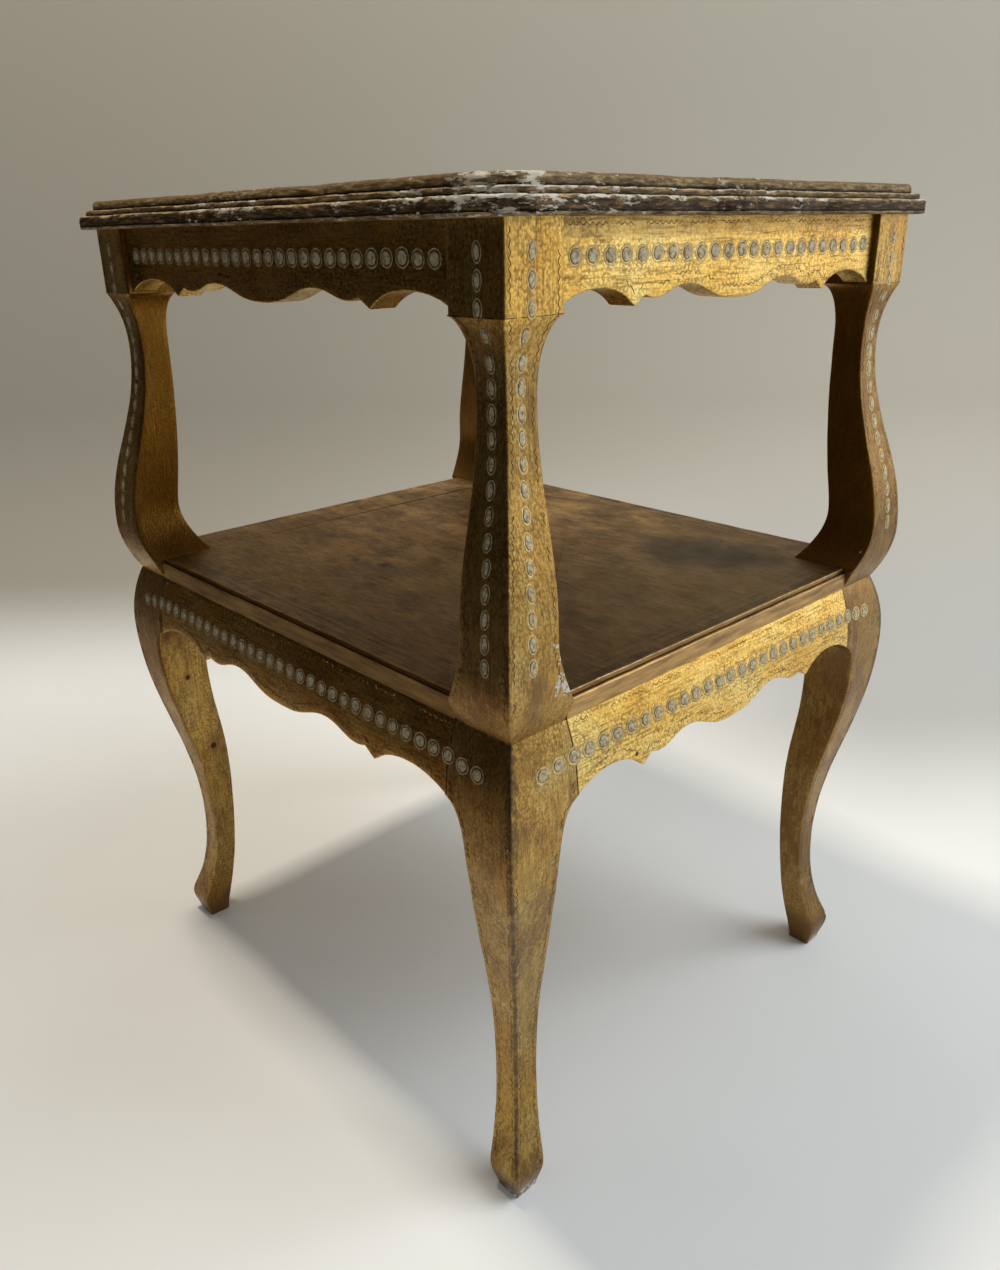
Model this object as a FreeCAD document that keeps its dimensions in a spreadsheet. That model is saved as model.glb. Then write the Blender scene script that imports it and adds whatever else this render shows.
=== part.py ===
"""Two-tier gilt side table: sawn cabriole legs, scalloped aprons, a notched shelf and a stepped top.

Millimetres, +Z up. The origin is on the floor under the middle of the table, and the front faces -Y.
"""
import FreeCAD, Part
import os
import Sketcher
from FreeCAD import Placement, Rotation, Vector

# Driving dimensions: name, value in millimetres, meaning.
SIZES = [
    ("frame_width", 425, "across the outer faces of the leg blocks, left to right"),
    ("frame_depth", 374, "across the outer faces of the leg blocks, front to back"),
    ("lower_leg_height", 338, "floor to the underside of the shelf"),
    ("upper_leg_height", 254, "underside of the shelf to the underside of the top"),
    ("leg_block", 39, "side of the square block that the aprons are jointed into"),
    ("shoulder_swell", 4, "how far the legs stand out where upper and lower meet"),
    ("sole_inner", 18, "lower leg, inner face at the floor"),
    ("toe_swell", 4.6, "lower leg, toe out of the frame plane"),
    ("toe_height", 19, "lower leg, height of the toe"),
    ("ankle_tuck", 10.8, "lower leg, ankle inside the frame plane"),
    ("ankle_height", 108, "lower leg, height of the ankle"),
    ("knee_swell", 13.7, "lower leg and apron, knee out of the frame plane"),
    ("knee_drop", 50, "lower leg and apron, knee below the shelf"),
    ("calf_inner", 31.5, "lower leg, inner face at the calf"),
    ("calf_height", 158, "lower leg, height of the calf"),
    ("arch_inner", 26, "lower leg, inner face under the arch"),
    ("arch_drop", 88, "lower leg, foot of the arch below the shelf"),
    ("arch_spring_drop", 44.5, "where leg and apron meet in the arch, below the shelf"),
    ("belly_swell", 14.7, "upper leg, belly out of the frame plane"),
    ("belly_height", 37, "upper leg, height of the belly above its foot"),
    ("neck_tuck", 7.8, "upper leg, neck inside the frame plane"),
    ("neck_height", 174, "upper leg, height of the neck above its foot"),
    ("upper_block_height", 43, "upper leg, height of its square block"),
    ("shaft_inner", 29.5, "upper leg, inner face of the shaft"),
    ("shaft_height", 180, "upper leg, top of the shaft above its foot"),
    ("waist_inner", 22.8, "upper leg, inner face at its thinnest"),
    ("waist_height", 52, "upper leg, height of the waist above its foot"),
    ("foot_inner", 38, "upper leg, inner face of the flared foot"),
    ("foot_clearance", 0.2, "play of the foot in the shelf notch"),
    ("apron_recess", 4, "upper apron face behind the leg blocks"),
    ("apron_thickness", 18, "upper apron board"),
    ("upper_apron_height", 43, "upper apron at its pendants"),
    ("upper_spring_drop", 42, "upper apron where it meets the leg block"),
    ("lower_apron_height", 48, "lower apron at its pendants"),
    ("lower_apron_back", 12, "lower apron, back face inside the frame plane"),
    ("nose_overhang", 14, "top, nose of the moulding out of the frame plane"),
    ("nose_height", 8.6, "top, height of the rounded nose"),
    ("nose_round", 3, "top, rounding of the nose"),
    ("step_setback", 4.4, "top, middle fillet behind the nose"),
    ("step_height", 3.4, "top, height of the middle fillet"),
    ("field_setback", 9.6, "top, upper tier behind the nose"),
    ("field_height", 6, "top, height of the upper tier"),
    ("field_round", 3.5, "top, rounding of the upper arris"),
    ("corner_cant", 20, "top, leg of the canted corner at the nose"),
    ("serpentine_depth", 6, "top, depth of the hollows in its sides"),
    ("shelf_overhang", 5, "shelf edge out of the frame plane"),
    ("shelf_band_height", 11.5, "shelf, height of the plain band"),
    ("shelf_step_height", 3.5, "shelf, height of the step above the band"),
    ("shelf_step_setback", 2.5, "shelf, step behind the band"),
    ("shelf_round", 1, "shelf, rounding of the upper arris"),
    ("dowel_radius", 4, "apron dowel"),
    ("dowel_length", 30, "apron dowel"),
    ("dowel_drop", 11, "first apron dowel below the top of its apron"),
    ("dowel_pitch", 16, "between the two dowels of a joint"),
    ("post_dowel_radius", 6, "dowel between upper and lower leg"),
    ("post_dowel_length", 40, "dowel between upper and lower leg"),
    ("post_dowel_inset", 17, "dowel between the legs, inside the frame planes"),
    ("dowel_clearance", 0.1, "glue play round a dowel"),
    ("end_room", 1, "left free at the end of a blind hole"),
    ("glue_block_length", 120, "block behind an apron"),
    ("glue_block_side", 20, "block behind an apron, height and width"),
    ("glue_block_cant", 6, "block behind an apron, canted lower edge"),
    ("screw_head_radius", 4, "countersunk screw"),
    ("screw_head_height", 2.6, "countersunk screw"),
    ("screw_shank_radius", 2, "countersunk screw"),
    ("screw_length", 29, "countersunk screw, head to tip"),
    ("screw_tip_height", 4, "countersunk screw, pointed end"),
    ("screw_spacing", 70, "between the two screws of a block"),
    ("screw_clearance", 0.15, "play round a screw"),
    ("overrun", 5, "how far a cut runs past the wood"),
]

# Curves of the leg outlines, each an arc with four poles: shares of the way from its start to its end.
CURVE_SHARES = {
    "easy": [(0, 0.4), (1, 0.6), (1, 1)],
    "toe": [(0.1, 0.2), (1, 0.7), (1, 1)],
    "instep": [(0, 0.12), (1, 0.3), (1, 1)],
    "knee": [(0, 0.5), (0.54, 0.78), (1, 1)],
    "arch": [(0.76, 0.08), (1, 0.4), (1, 1)],
    "heel": [(0, 0.68), (1, 0.9), (1, 1)],
    "belly": [(0.47, 0.22), (1, 0.6), (1, 1)],
    "neck": [(0, 0.45), (0.42, 0.73), (1, 1)],
    "bracket": [(0.67, 0.03), (1, 0.45), (1, 1)],
    "shaft": [(0, 0.7), (1, 0.88), (1, 1)],
    "foot": [(0, 0.38), (0.5, 0.75), (1, 1)],
}

# Scalloped apron edge, from the leg to the middle: shares of half its length and of its height.
ARCH_SHARES = [(0.94, 0.76), (0.72, 0.62), (0.615, 1)]
NOTCH_SHARES = [(0.56, 0.87)]
LOBE_SHARES = [(0.53, 0.92), (0.46, 0.93), (0.38, 0.78), (0.26, 0.77), (0.15, 0.95), (0.07, 1), (0, 1)]

# Serpentine sides of the top: where each hollow ends and begins, as shares of half the side.
LONG_SIDE_SHARES = (0.46, 0.18)
SHORT_SIDE_SHARES = (0.5, 0.12)
# One hollow as three tangent arcs, each a point on it and its end: shares of width and depth.
HOLLOW_SHARES = [[(0.125, 0.125), (0.25, 0.5)], [(0.5, 1), (0.75, 0.5)], [(0.875, 0.125), (1, 0)]]
# A parallel outline inside a corner canted at 45 degrees loses this much of the cut for each setback.
CANT_SHARE = round(2 - 2 ** 0.5, 4)

# Corners and sides of the frame: direction from the middle and turn about +Z.
CORNERS = {
    "front_left": (-1, -1, 0),
    "front_right": (1, -1, 90),
    "back_right": (1, 1, 180),
    "back_left": (-1, 1, 270),
}
SIDES = {
    "front": (0, -1, 0),
    "right": (1, 0, 90),
    "back": (0, 1, 180),
    "left": (-1, 0, 270),
}

# How a sketch numbers its axes, and the points of one of its edges.
ORIGIN_AXES = -1
START, END, CENTRE = 1, 2, 3
X_PLANE = Vector(1, 0, 0)
Y_PLANE = Vector(0, 1, 0)
Z_AXIS = Vector(0, 0, 1)
ALONG_X = Rotation(Y_PLANE, 90)
ALONG_Y = Rotation(X_PLANE, -90)
FULL_TURN = 360
POLE_WEIGHT = 1.0


class Length:
    """A length worked out from the sheet: its value now, and the expression that keeps it bound."""

    def __init__(self, text, value):
        self.text = text
        self.value = value

    def __add__(self, other):
        return Length(f"({self.text} + {other.text})", self.value + other.value)

    def __sub__(self, other):
        return Length(f"({self.text} - {other.text})", self.value - other.value)

    def __neg__(self):
        return Length(f"(-{self.text})", -self.value)

    def __mul__(self, share):
        return Length(f"({self.text} * {share})", self.value * share)

    def __truediv__(self, share):
        return Length(f"({self.text} / {share})", self.value / share)

    def towards(self, other, share):
        """The length that lies a share of the way from this one to another."""
        return self + (other - self) * share


class Lengths:
    """The cells of the sheet, by name."""

    def __init__(self, sheet):
        for row, (name, value, meaning) in enumerate(SIZES, start=1):
            sheet.set(f"A{row}", name)
            sheet.set(f"B{row}", str(value))
            sheet.setAlias(f"B{row}", name)
            sheet.set(f"C{row}", meaning)
            setattr(self, name, Length(f"{sheet.Name}.{name}", value))


doc = FreeCAD.newDocument("side_table")
size = Lengths(doc.addObject("Spreadsheet::Sheet", "sizes"))
doc.recompute()

ZERO = Length("0", 0)
JOINT = size.lower_leg_height
SHELF_THICKNESS = size.shelf_band_height + size.shelf_step_height
TOP_BOTTOM = JOINT + size.upper_leg_height
TOP_THICKNESS = size.nose_height + size.step_height + size.field_height
UPPER_APRON_BACK = size.apron_recess + size.apron_thickness
UPPER_DOWEL_INSET = size.apron_recess + size.apron_thickness / 2
LOWER_DOWEL_INSET = (size.lower_apron_back - size.shoulder_swell) / 2
DOWEL_DROPS = [size.dowel_drop, size.dowel_drop + size.dowel_pitch]
DOWEL_BORE = size.dowel_radius + size.dowel_clearance
DOWEL_BORE_DEPTH = size.dowel_length / 2 + size.end_room
POST_BORE = size.post_dowel_radius + size.dowel_clearance
POST_BORE_DEPTH = size.post_dowel_length / 2 + size.end_room
SCREW_BORE = size.screw_shank_radius + size.screw_clearance
SCREW_BITE = size.screw_length - size.glue_block_side + size.end_room
LEG_REACH = size.leg_block + size.knee_swell + size.belly_swell + size.overrun


# Sketches and features

def pin(sketch, geometry, point, place):
    """Bind a point of a sketch to its place."""
    for kind, length in zip(("DistanceX", "DistanceY"), place):
        constraint = Sketcher.Constraint(kind, ORIGIN_AXES, START, geometry, point, length.value)
        index = sketch.addConstraint(constraint)
        sketch.setExpression(f"Constraints[{index}]", length.text)


def add_sketch(body, name, role, offset=None):
    """A sketch on one of the body's own origin planes, moved along that plane's normal by the offset."""
    sketch = body.newObject("Sketcher::SketchObject", name)
    plane = [feature for feature in body.Origin.OriginFeatures if feature.Role == role][0]
    sketch.AttachmentSupport = (plane, "")
    sketch.MapMode = "FlatFace"
    if offset is not None:
        sketch.setExpression("AttachmentOffset.Base.z", offset.text)
    return sketch


def spline(poles):
    """A clamped cubic spline with evenly spaced knots: four poles make a single Bezier arc."""
    spans = len(poles) - 3
    multiplicities = [4] + [1] * (spans - 1) + [4]
    curve = Part.BSplineCurve()
    curve.buildFromPolesMultsKnots(poles, multiplicities, list(range(spans + 1)), False, 3)
    return curve


def draw(sketch, segments):
    """Draw a closed outline whose segments each go on from the last.

    One point is a line. Two are an arc that leaves the last edge smoothly, passes the first point and ends
    at the second. Three or more are the poles of a spline.
    """
    edges = []
    start = segments[-1][-1]
    for points in segments:
        edges.append(add_edge(sketch, start, points))
        start = points[-1]
    ends = [order_ends(sketch, edge, points[-1]) for edge, points in zip(edges, segments)]
    for index, points in enumerate(segments):
        near, far = ends[index]
        joint = "Tangent" if is_arc(points) else "Coincident"
        last_far = ends[index - 1][-1]
        sketch.addConstraint(Sketcher.Constraint(joint, edges[index - 1], last_far, edges[index], near))
        if len(points) <= 2:
            pin(sketch, edges[index], far, points[-1])


def is_arc(points):
    return len(points) == 2


def add_edge(sketch, start, points):
    """Add one segment of an outline, and bind the poles of a spline."""
    poles = [Vector(x.value, y.value, 0) for x, y in [start, *points]]
    if len(points) == 1:
        return sketch.addGeometry(Part.LineSegment(*poles), False)
    if is_arc(points):
        return sketch.addGeometry(Part.Arc(*poles), False)
    edge = sketch.addGeometry(spline(poles), False)
    for index, pole in enumerate(poles):
        knob = sketch.addGeometry(Part.Circle(pole, Z_AXIS, POLE_WEIGHT), True)
        control = "InternalAlignment:Sketcher::BSplineControlPoint"
        sketch.addConstraint(Sketcher.Constraint(control, knob, CENTRE, edge, index))
        sketch.addConstraint(Sketcher.Constraint("Weight", knob, POLE_WEIGHT))
        if index > 0:
            pin(sketch, knob, CENTRE, points[index - 1])
    return edge


def order_ends(sketch, edge, arrival):
    """The near and the far end of an edge: a sketch keeps arcs anticlockwise, whichever way they run."""
    x, y = arrival
    target = Vector(x.value, y.value, 0)
    starts_there = sketch.getPoint(edge, START).isEqual(target, Part.Precision.confusion())
    return (END, START) if starts_there else (START, END)


def draw_circle(sketch, centre, radius):
    x, y = centre
    circle = sketch.addGeometry(Part.Circle(Vector(x.value, y.value, 0), Z_AXIS, radius.value), False)
    pin(sketch, circle, CENTRE, centre)
    index = sketch.addConstraint(Sketcher.Constraint("Radius", circle, radius.value))
    sketch.setExpression(f"Constraints[{index}]", radius.text)


def rectangle(low, high):
    (left, bottom), (right, top) = low, high
    return [[(right, bottom)], [(right, top)], [(left, top)], [(left, bottom)]]


def extrude(body, kind, sketch, length, side="One side", reverse=False):
    """Pad or pocket a sketch."""
    feature = body.newObject(f"PartDesign::{kind}", f"{sketch.Name}_{kind}")
    feature.Profile = sketch
    feature.SideType = side
    feature.Reversed = reverse
    feature.setExpression("Length", length.text)
    return feature


def drill(body, name, role, offset, centres, radius, depth, reverse=False):
    """Round holes cut from a plane, against its normal unless reversed."""
    sketch = add_sketch(body, name, role, offset)
    for centre in centres:
        draw_circle(sketch, centre, radius)
    return extrude(body, "Pocket", sketch, depth, reverse=reverse)


def mirror_in_body(body, feature):
    """Repeat a feature on the other side of the body's YZ plane."""
    mirrored = body.newObject("PartDesign::Mirrored", f"{feature.Name}_mirrored")
    mirrored.Originals = [feature]
    plane = [item for item in body.Origin.OriginFeatures if item.Role == "YZ_Plane"][0]
    mirrored.MirrorPlane = (plane, [""])
    body.Tip = mirrored


def round_edges(body, feature, heights, radius):
    """Round the edges of a feature that lie flat at the given heights."""
    doc.recompute()
    flat = []
    for index, edge in enumerate(feature.Shape.Edges, start=1):
        if any(lies_at(edge, height.value) for height in heights):
            flat.append(f"Edge{index}")
    fillet = body.newObject("PartDesign::Fillet", f"{feature.Name}_round")
    fillet.Base = (feature, flat)
    fillet.setExpression("Radius", radius.text)


def lies_at(edge, height):
    box = edge.BoundBox
    return max(abs(box.ZMin - height), abs(box.ZMax - height)) < Part.Precision.confusion()


def place(item, x, y, z, turn=None):
    """Bind an object's placement."""
    item.Placement = Placement(Vector(0, 0, 0), turn or Rotation())
    for axis, length in zip("xyz", (x, y, z)):
        item.setExpression(f"Placement.Base.{axis}", length.text)


# Legs

def curve(name, start, end):
    """A named curve from one point to another, without its first pole."""
    (x0, z0), (x1, z1) = start, end
    return [(x0.towards(x1, across), z0.towards(z1, up)) for across, up in CURVE_SHARES[name]]


def knee_curve(top):
    """The swell from the knee up to the shelf, which legs and lower aprons share."""
    return curve("knee", (-size.knee_swell, top - size.knee_drop), (-size.shoulder_swell, top))


def lower_leg_profile():
    top = size.lower_leg_height
    corner = (ZERO, ZERO)
    toe = (-size.toe_swell, size.toe_height)
    ankle = (size.ankle_tuck, size.ankle_height)
    knee = (-size.knee_swell, top - size.knee_drop)
    spring = (size.leg_block, top - size.arch_spring_drop)
    arch = (size.arch_inner, top - size.arch_drop)
    calf = (size.calf_inner, size.calf_height)
    heel = (size.sole_inner, ZERO)
    return [
        curve("toe", corner, toe),
        curve("instep", toe, ankle),
        curve("easy", ankle, knee),
        knee_curve(top),
        [(size.leg_block, top)],
        [spring],
        curve("arch", spring, arch),
        curve("easy", arch, calf),
        curve("heel", calf, heel),
        [corner],
    ]


def upper_leg_profile():
    top = size.upper_leg_height
    block_bottom = top - size.upper_block_height
    shoulder = (-size.shoulder_swell, ZERO)
    belly = (-size.belly_swell, size.belly_height)
    neck = (size.neck_tuck, size.neck_height)
    block_outer = (ZERO, block_bottom)
    block_inner = (size.leg_block, block_bottom)
    shaft = (size.shaft_inner, size.shaft_height)
    waist = (size.waist_inner, size.waist_height)
    foot = (size.foot_inner, SHELF_THICKNESS)
    return [
        curve("belly", shoulder, belly),
        curve("easy", belly, neck),
        curve("neck", neck, block_outer),
        [(ZERO, top)],
        [(size.leg_block, top)],
        [block_inner],
        curve("bracket", block_inner, shaft),
        curve("shaft", shaft, waist),
        curve("foot", waist, foot),
        [(size.foot_inner, ZERO)],
        [shoulder],
    ]


def make_leg(label, profile, height, dowel_inset, post_bore):
    """Saw the profile from the front, then saw the same profile from the side, and bore for the dowels.

    In its own frame the leg's corner stands on the origin, with the table towards +X and +Y. The post bore
    is given by the height it starts at and whether it goes up from there.
    """
    body = doc.addObject("PartDesign::Body", label)
    body.Label = label
    front = add_sketch(body, f"{label}_front", "XZ_Plane")
    draw(front, profile)
    extrude(body, "Pad", front, LEG_REACH * 2, side="Symmetric")
    waste = add_sketch(body, f"{label}_waste", "YZ_Plane")
    draw(waste, profile)
    draw(waste, rectangle((-LEG_REACH, -size.overrun), (LEG_REACH, height + size.overrun)))
    extrude(body, "Pocket", waste, LEG_REACH * 2 + size.overrun, side="Symmetric")
    bores = [(dowel_inset, height - drop) for drop in DOWEL_DROPS]
    face = size.leg_block
    drill(body, f"{label}_x_bores", "YZ_Plane", face, bores, DOWEL_BORE, DOWEL_BORE_DEPTH)
    drill(body, f"{label}_y_bores", "XZ_Plane", -face, bores, DOWEL_BORE, DOWEL_BORE_DEPTH, True)
    post = [(size.post_dowel_inset, size.post_dowel_inset)]
    end, upwards = post_bore
    drill(body, f"{label}_post_bore", "XY_Plane", end, post, POST_BORE, POST_BORE_DEPTH, upwards)
    return body


def make_legs():
    tiers = (
        ("lower", lower_leg_profile, size.lower_leg_height, ZERO, LOWER_DOWEL_INSET, (JOINT, False)),
        ("upper", upper_leg_profile, size.upper_leg_height, JOINT, UPPER_DOWEL_INSET, (ZERO, True)),
    )
    legs = []
    for corner, (side_x, side_y, turn) in CORNERS.items():
        x = size.frame_width / 2 * side_x
        y = size.frame_depth / 2 * side_y
        for tier, profile, height, bottom, dowel_inset, post_bore in tiers:
            leg = make_leg(f"{tier}_leg_{corner}", profile(), height, dowel_inset, post_bore)
            place(leg, x, y, bottom, Rotation(Z_AXIS, turn))
            legs.append(leg)
    return legs


# Aprons

def half_length(side):
    """Half the clear length between the leg blocks on one side."""
    across = size.frame_width if side in ("front", "back") else size.frame_depth
    return across / 2 - size.leg_block


def place_on_side(item, side, z):
    side_x, side_y, turn = SIDES[side]
    place(item, size.frame_width / 2 * side_x, size.frame_depth / 2 * side_y, z, Rotation(Z_AXIS, turn))


def scallop(half, height, spring):
    """The shaped lower edge, from the right leg to the left: arch, pendant, notch and lobes."""
    chain = [[(half, -spring)]]
    for shares in (ARCH_SHARES, NOTCH_SHARES, LOBE_SHARES):
        points = [(half * along, -height * down) for along, down in shares]
        chain.append([chain[-1][-1], *points])
    right = chain[1:]
    left = [[(-x, z) for x, z in reversed(points)] for points in reversed(right)]
    return [points[1:] for points in right + left]


def bore_apron_ends(body, label, half, inset):
    bores = [(inset, -drop) for drop in DOWEL_DROPS]
    holes = drill(body, f"{label}_bores", "YZ_Plane", half, bores, DOWEL_BORE, DOWEL_BORE_DEPTH)
    mirror_in_body(body, holes)


def make_upper_apron(side):
    """A flat board with a scalloped edge, set back from the leg blocks."""
    label = f"upper_apron_{side}"
    half = half_length(side)
    body = doc.addObject("PartDesign::Body", label)
    body.Label = label
    face = add_sketch(body, f"{label}_face", "XZ_Plane", -size.apron_recess)
    spring = size.upper_spring_drop
    edge = scallop(half, size.upper_apron_height, spring)
    draw(face, [[(half, ZERO)], [(half, -spring)], *edge, [(-half, ZERO)]])
    extrude(body, "Pad", face, size.apron_thickness, reverse=True)
    bore_apron_ends(body, label, half, UPPER_DOWEL_INSET)
    place_on_side(body, side, TOP_BOTTOM)
    return body


def make_lower_apron(side):
    """A board shaped to the swell of the knees, with a scalloped edge."""
    label = f"lower_apron_{side}"
    half = half_length(side)
    depth = size.knee_drop + size.lower_apron_height
    body = doc.addObject("PartDesign::Body", label)
    body.Label = label
    section = add_sketch(body, f"{label}_section", "YZ_Plane")
    draw(section, [
        knee_curve(ZERO),
        [(size.lower_apron_back, ZERO)],
        [(size.lower_apron_back, -depth)],
        [(-size.knee_swell, -depth)],
        [(-size.knee_swell, -size.knee_drop)],
    ])
    extrude(body, "Pad", section, half * 2, side="Symmetric")
    waste = add_sketch(body, f"{label}_waste", "XZ_Plane")
    reach = half + size.overrun
    below = -depth - size.overrun
    spring = size.arch_spring_drop
    edge = scallop(half, size.lower_apron_height, spring)
    around = [(-reach, -spring), (-reach, below), (reach, below), (reach, -spring), (half, -spring)]
    draw(waste, [*edge, *([corner] for corner in around)])
    through = size.knee_swell + size.lower_apron_back + size.overrun
    extrude(body, "Pocket", waste, through * 2, side="Symmetric")
    bore_apron_ends(body, label, half, LOWER_DOWEL_INSET)
    place_on_side(body, side, JOINT)
    return body


# Top and shelf

def serpentine_side(half_along, half_out, cant, shares):
    """One side of the top from corner to corner: straight ends, two hollows and a middle lobe."""
    run = half_along - cant
    outer, inner = [run * share for share in shares]
    segments = [[(-run, half_out)], [(-outer, half_out)]]
    depth = size.serpentine_depth
    for start, end in ((-outer, -inner), (inner, outer)):
        for arc in HOLLOW_SHARES:
            segments.append([(start.towards(end, along), half_out - depth * deep) for along, deep in arc])
        if start.value < 0:
            segments.append([(inner, half_out)])
    segments.append([(run, half_out)])
    return segments


def top_outline(overhang, cant):
    """Four serpentine sides with canted corners, anticlockwise from the front left."""
    half_x = size.frame_width / 2 + overhang
    half_y = size.frame_depth / 2 + overhang
    long_side = serpentine_side(half_x, half_y, cant, LONG_SIDE_SHARES)
    short_side = serpentine_side(half_y, half_x, cant, SHORT_SIDE_SHARES)
    segments = []
    for quarter, side in enumerate((long_side, short_side, long_side, short_side)):
        for points in side:
            segments.append([turned(along, out, quarter) for along, out in points])
    return segments


def turned(along, out, quarter):
    """A point of one side, from its place along the side and its distance from the middle."""
    return [(along, -out), (out, along), (-along, out), (-out, -along)][quarter]


def pilot_holes(body, label, inset):
    """Blind holes in the underside for the screws that come up through the glue blocks."""
    along = size.screw_spacing / 2
    out_x = size.frame_width / 2 - inset
    out_y = size.frame_depth / 2 - inset
    centres = []
    for x, y in ((along, out_y), (out_x, along)):
        centres += [(x, y), (-x, y), (-x, -y), (x, -y)]
    drill(body, f"{label}_pilots", "XY_Plane", ZERO, centres, SCREW_BORE, SCREW_BITE, reverse=True)


def make_top():
    """Three tiers, each a serpentine outline with canted corners: rounded nose, fillet and field."""
    label = "top_panel"
    body = doc.addObject("PartDesign::Body", label)
    body.Label = label
    tiers = (
        ("nose", ZERO, size.nose_height, ZERO),
        ("step", size.nose_height, size.step_height, size.step_setback),
        ("field", size.nose_height + size.step_height, size.field_height, size.field_setback),
    )
    for name, bottom, height, setback in tiers:
        sketch = add_sketch(body, f"{label}_{name}", "XY_Plane", bottom)
        cant = size.corner_cant - setback * CANT_SHARE
        draw(sketch, top_outline(size.nose_overhang - setback, cant))
        tier = extrude(body, "Pad", sketch, height)
        if name == "nose":
            round_edges(body, tier, [ZERO, size.nose_height], size.nose_round)
        if name == "field":
            round_edges(body, tier, [TOP_THICKNESS], size.field_round)
    pilot_holes(body, label, UPPER_APRON_BACK + size.glue_block_side / 2)
    place(body, ZERO, ZERO, TOP_BOTTOM)
    return body


def make_shelf():
    """A board with a stepped edge, notched at its corners for the feet of the upper legs."""
    label = "shelf_board"
    body = doc.addObject("PartDesign::Body", label)
    body.Label = label
    notch = size.foot_inner + size.foot_clearance
    notch_x = size.frame_width / 2 - notch
    notch_y = size.frame_depth / 2 - notch
    step_overhang = size.shelf_overhang - size.shelf_step_setback
    tiers = (
        ("band", ZERO, size.shelf_band_height, size.shelf_overhang),
        ("step", size.shelf_band_height, size.shelf_step_height, step_overhang),
    )
    for name, bottom, height, overhang in tiers:
        edge_x = size.frame_width / 2 + overhang
        edge_y = size.frame_depth / 2 + overhang
        corner = [(edge_x, notch_y), (notch_x, notch_y), (notch_x, edge_y)]
        back = corner + [(-x, y) for x, y in reversed(corner)]
        outline = [[point] for point in back + [(-x, -y) for x, y in back]]
        sketch = add_sketch(body, f"{label}_{name}", "XY_Plane", bottom)
        draw(sketch, outline)
        tier = extrude(body, "Pad", sketch, height)
    round_edges(body, tier, [SHELF_THICKNESS], size.shelf_round)
    pilot_holes(body, label, size.lower_apron_back + size.glue_block_side / 2)
    place(body, ZERO, ZERO, JOINT)
    return body


# Glue blocks and fixings

def screw_outline(play):
    """Half the outline of a countersunk screw that points up, from the middle of its head."""
    head = size.screw_head_radius + play
    shank = size.screw_shank_radius + play
    return [
        [(head, ZERO)],
        [(shank, size.screw_head_height)],
        [(shank, size.screw_length - size.screw_tip_height)],
        [(ZERO, size.screw_length)],
        [(ZERO, ZERO)],
    ]


def spin(body, kind, sketch):
    feature = body.newObject(f"PartDesign::{kind}", f"{sketch.Name}_{kind}")
    feature.Profile = sketch
    feature.ReferenceAxis = (sketch, ["V_Axis"])
    feature.Angle = FULL_TURN
    return feature


def make_glue_block(tier, side, apron_back, z):
    """A block glued behind an apron, with countersunk holes for two screws."""
    label = f"{tier}_glue_block_{side}"
    front = apron_back
    back = apron_back + size.glue_block_side
    low = -size.glue_block_side
    body = doc.addObject("PartDesign::Body", label)
    body.Label = label
    section = add_sketch(body, f"{label}_section", "YZ_Plane")
    draw(section, [
        [(back, ZERO)],
        [(front, ZERO)],
        [(front, low)],
        [(back - size.glue_block_cant, low)],
        [(back, low + size.glue_block_cant)],
    ])
    extrude(body, "Pad", section, size.glue_block_length, side="Symmetric")
    hole = add_sketch(body, f"{label}_hole", "XZ_Plane", -(apron_back + size.glue_block_side / 2))
    hole.setExpression("AttachmentOffset.Base.x", (size.screw_spacing / 2).text)
    hole.setExpression("AttachmentOffset.Base.y", low.text)
    draw(hole, screw_outline(size.screw_clearance))
    mirror_in_body(body, spin(body, "Groove", hole))
    place_on_side(body, side, z)
    return body


def mirrored(item, normal):
    copy = doc.addObject("Part::Mirroring", f"{item.Name}_mirrored")
    copy.Source = item
    copy.Normal = normal
    return copy


def group(label, items):
    """One node of separate solids: the items and their mirror images in both middle planes."""
    quarter = doc.addObject("Part::Compound", f"{label}_quarter")
    quarter.Links = items
    half = doc.addObject("Part::Compound", f"{label}_half")
    half.Links = [quarter, mirrored(quarter, X_PLANE)]
    whole = doc.addObject("Part::Compound", label)
    whole.Links = [half, mirrored(half, Y_PLANE)]
    whole.Label = label
    return whole


def add_dowel(name, radius, length, x, y, z, turn):
    dowel = doc.addObject("Part::Cylinder", name)
    dowel.setExpression("Radius", radius.text)
    dowel.setExpression("Height", length.text)
    place(dowel, x, y, z, turn)
    return dowel


def make_apron_dowels(tier, inset, top):
    """Two dowels at each end of each apron, half in the apron and half in the leg."""
    label = f"{tier}_apron_dowels"
    start_x = size.frame_width / 2 - size.leg_block - size.dowel_length / 2
    start_y = size.frame_depth / 2 - size.leg_block - size.dowel_length / 2
    line_x = size.frame_width / 2 - inset
    line_y = size.frame_depth / 2 - inset
    radius = size.dowel_radius
    length = size.dowel_length
    dowels = []
    for number, drop in enumerate(DOWEL_DROPS, start=1):
        z = top - drop
        dowels.append(add_dowel(f"{label}_x{number}", radius, length, start_x, line_y, z, ALONG_X))
        dowels.append(add_dowel(f"{label}_y{number}", radius, length, line_x, start_y, z, ALONG_Y))
    return group(label, dowels)


def make_post_dowels():
    """One upright dowel at each corner, between the upper and the lower leg."""
    label = "leg_joint_dowels"
    x = size.frame_width / 2 - size.post_dowel_inset
    y = size.frame_depth / 2 - size.post_dowel_inset
    length = size.post_dowel_length
    post = add_dowel(f"{label}_post", size.post_dowel_radius, length, x, y, JOINT - length / 2, Rotation())
    return group(label, [post])


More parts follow.
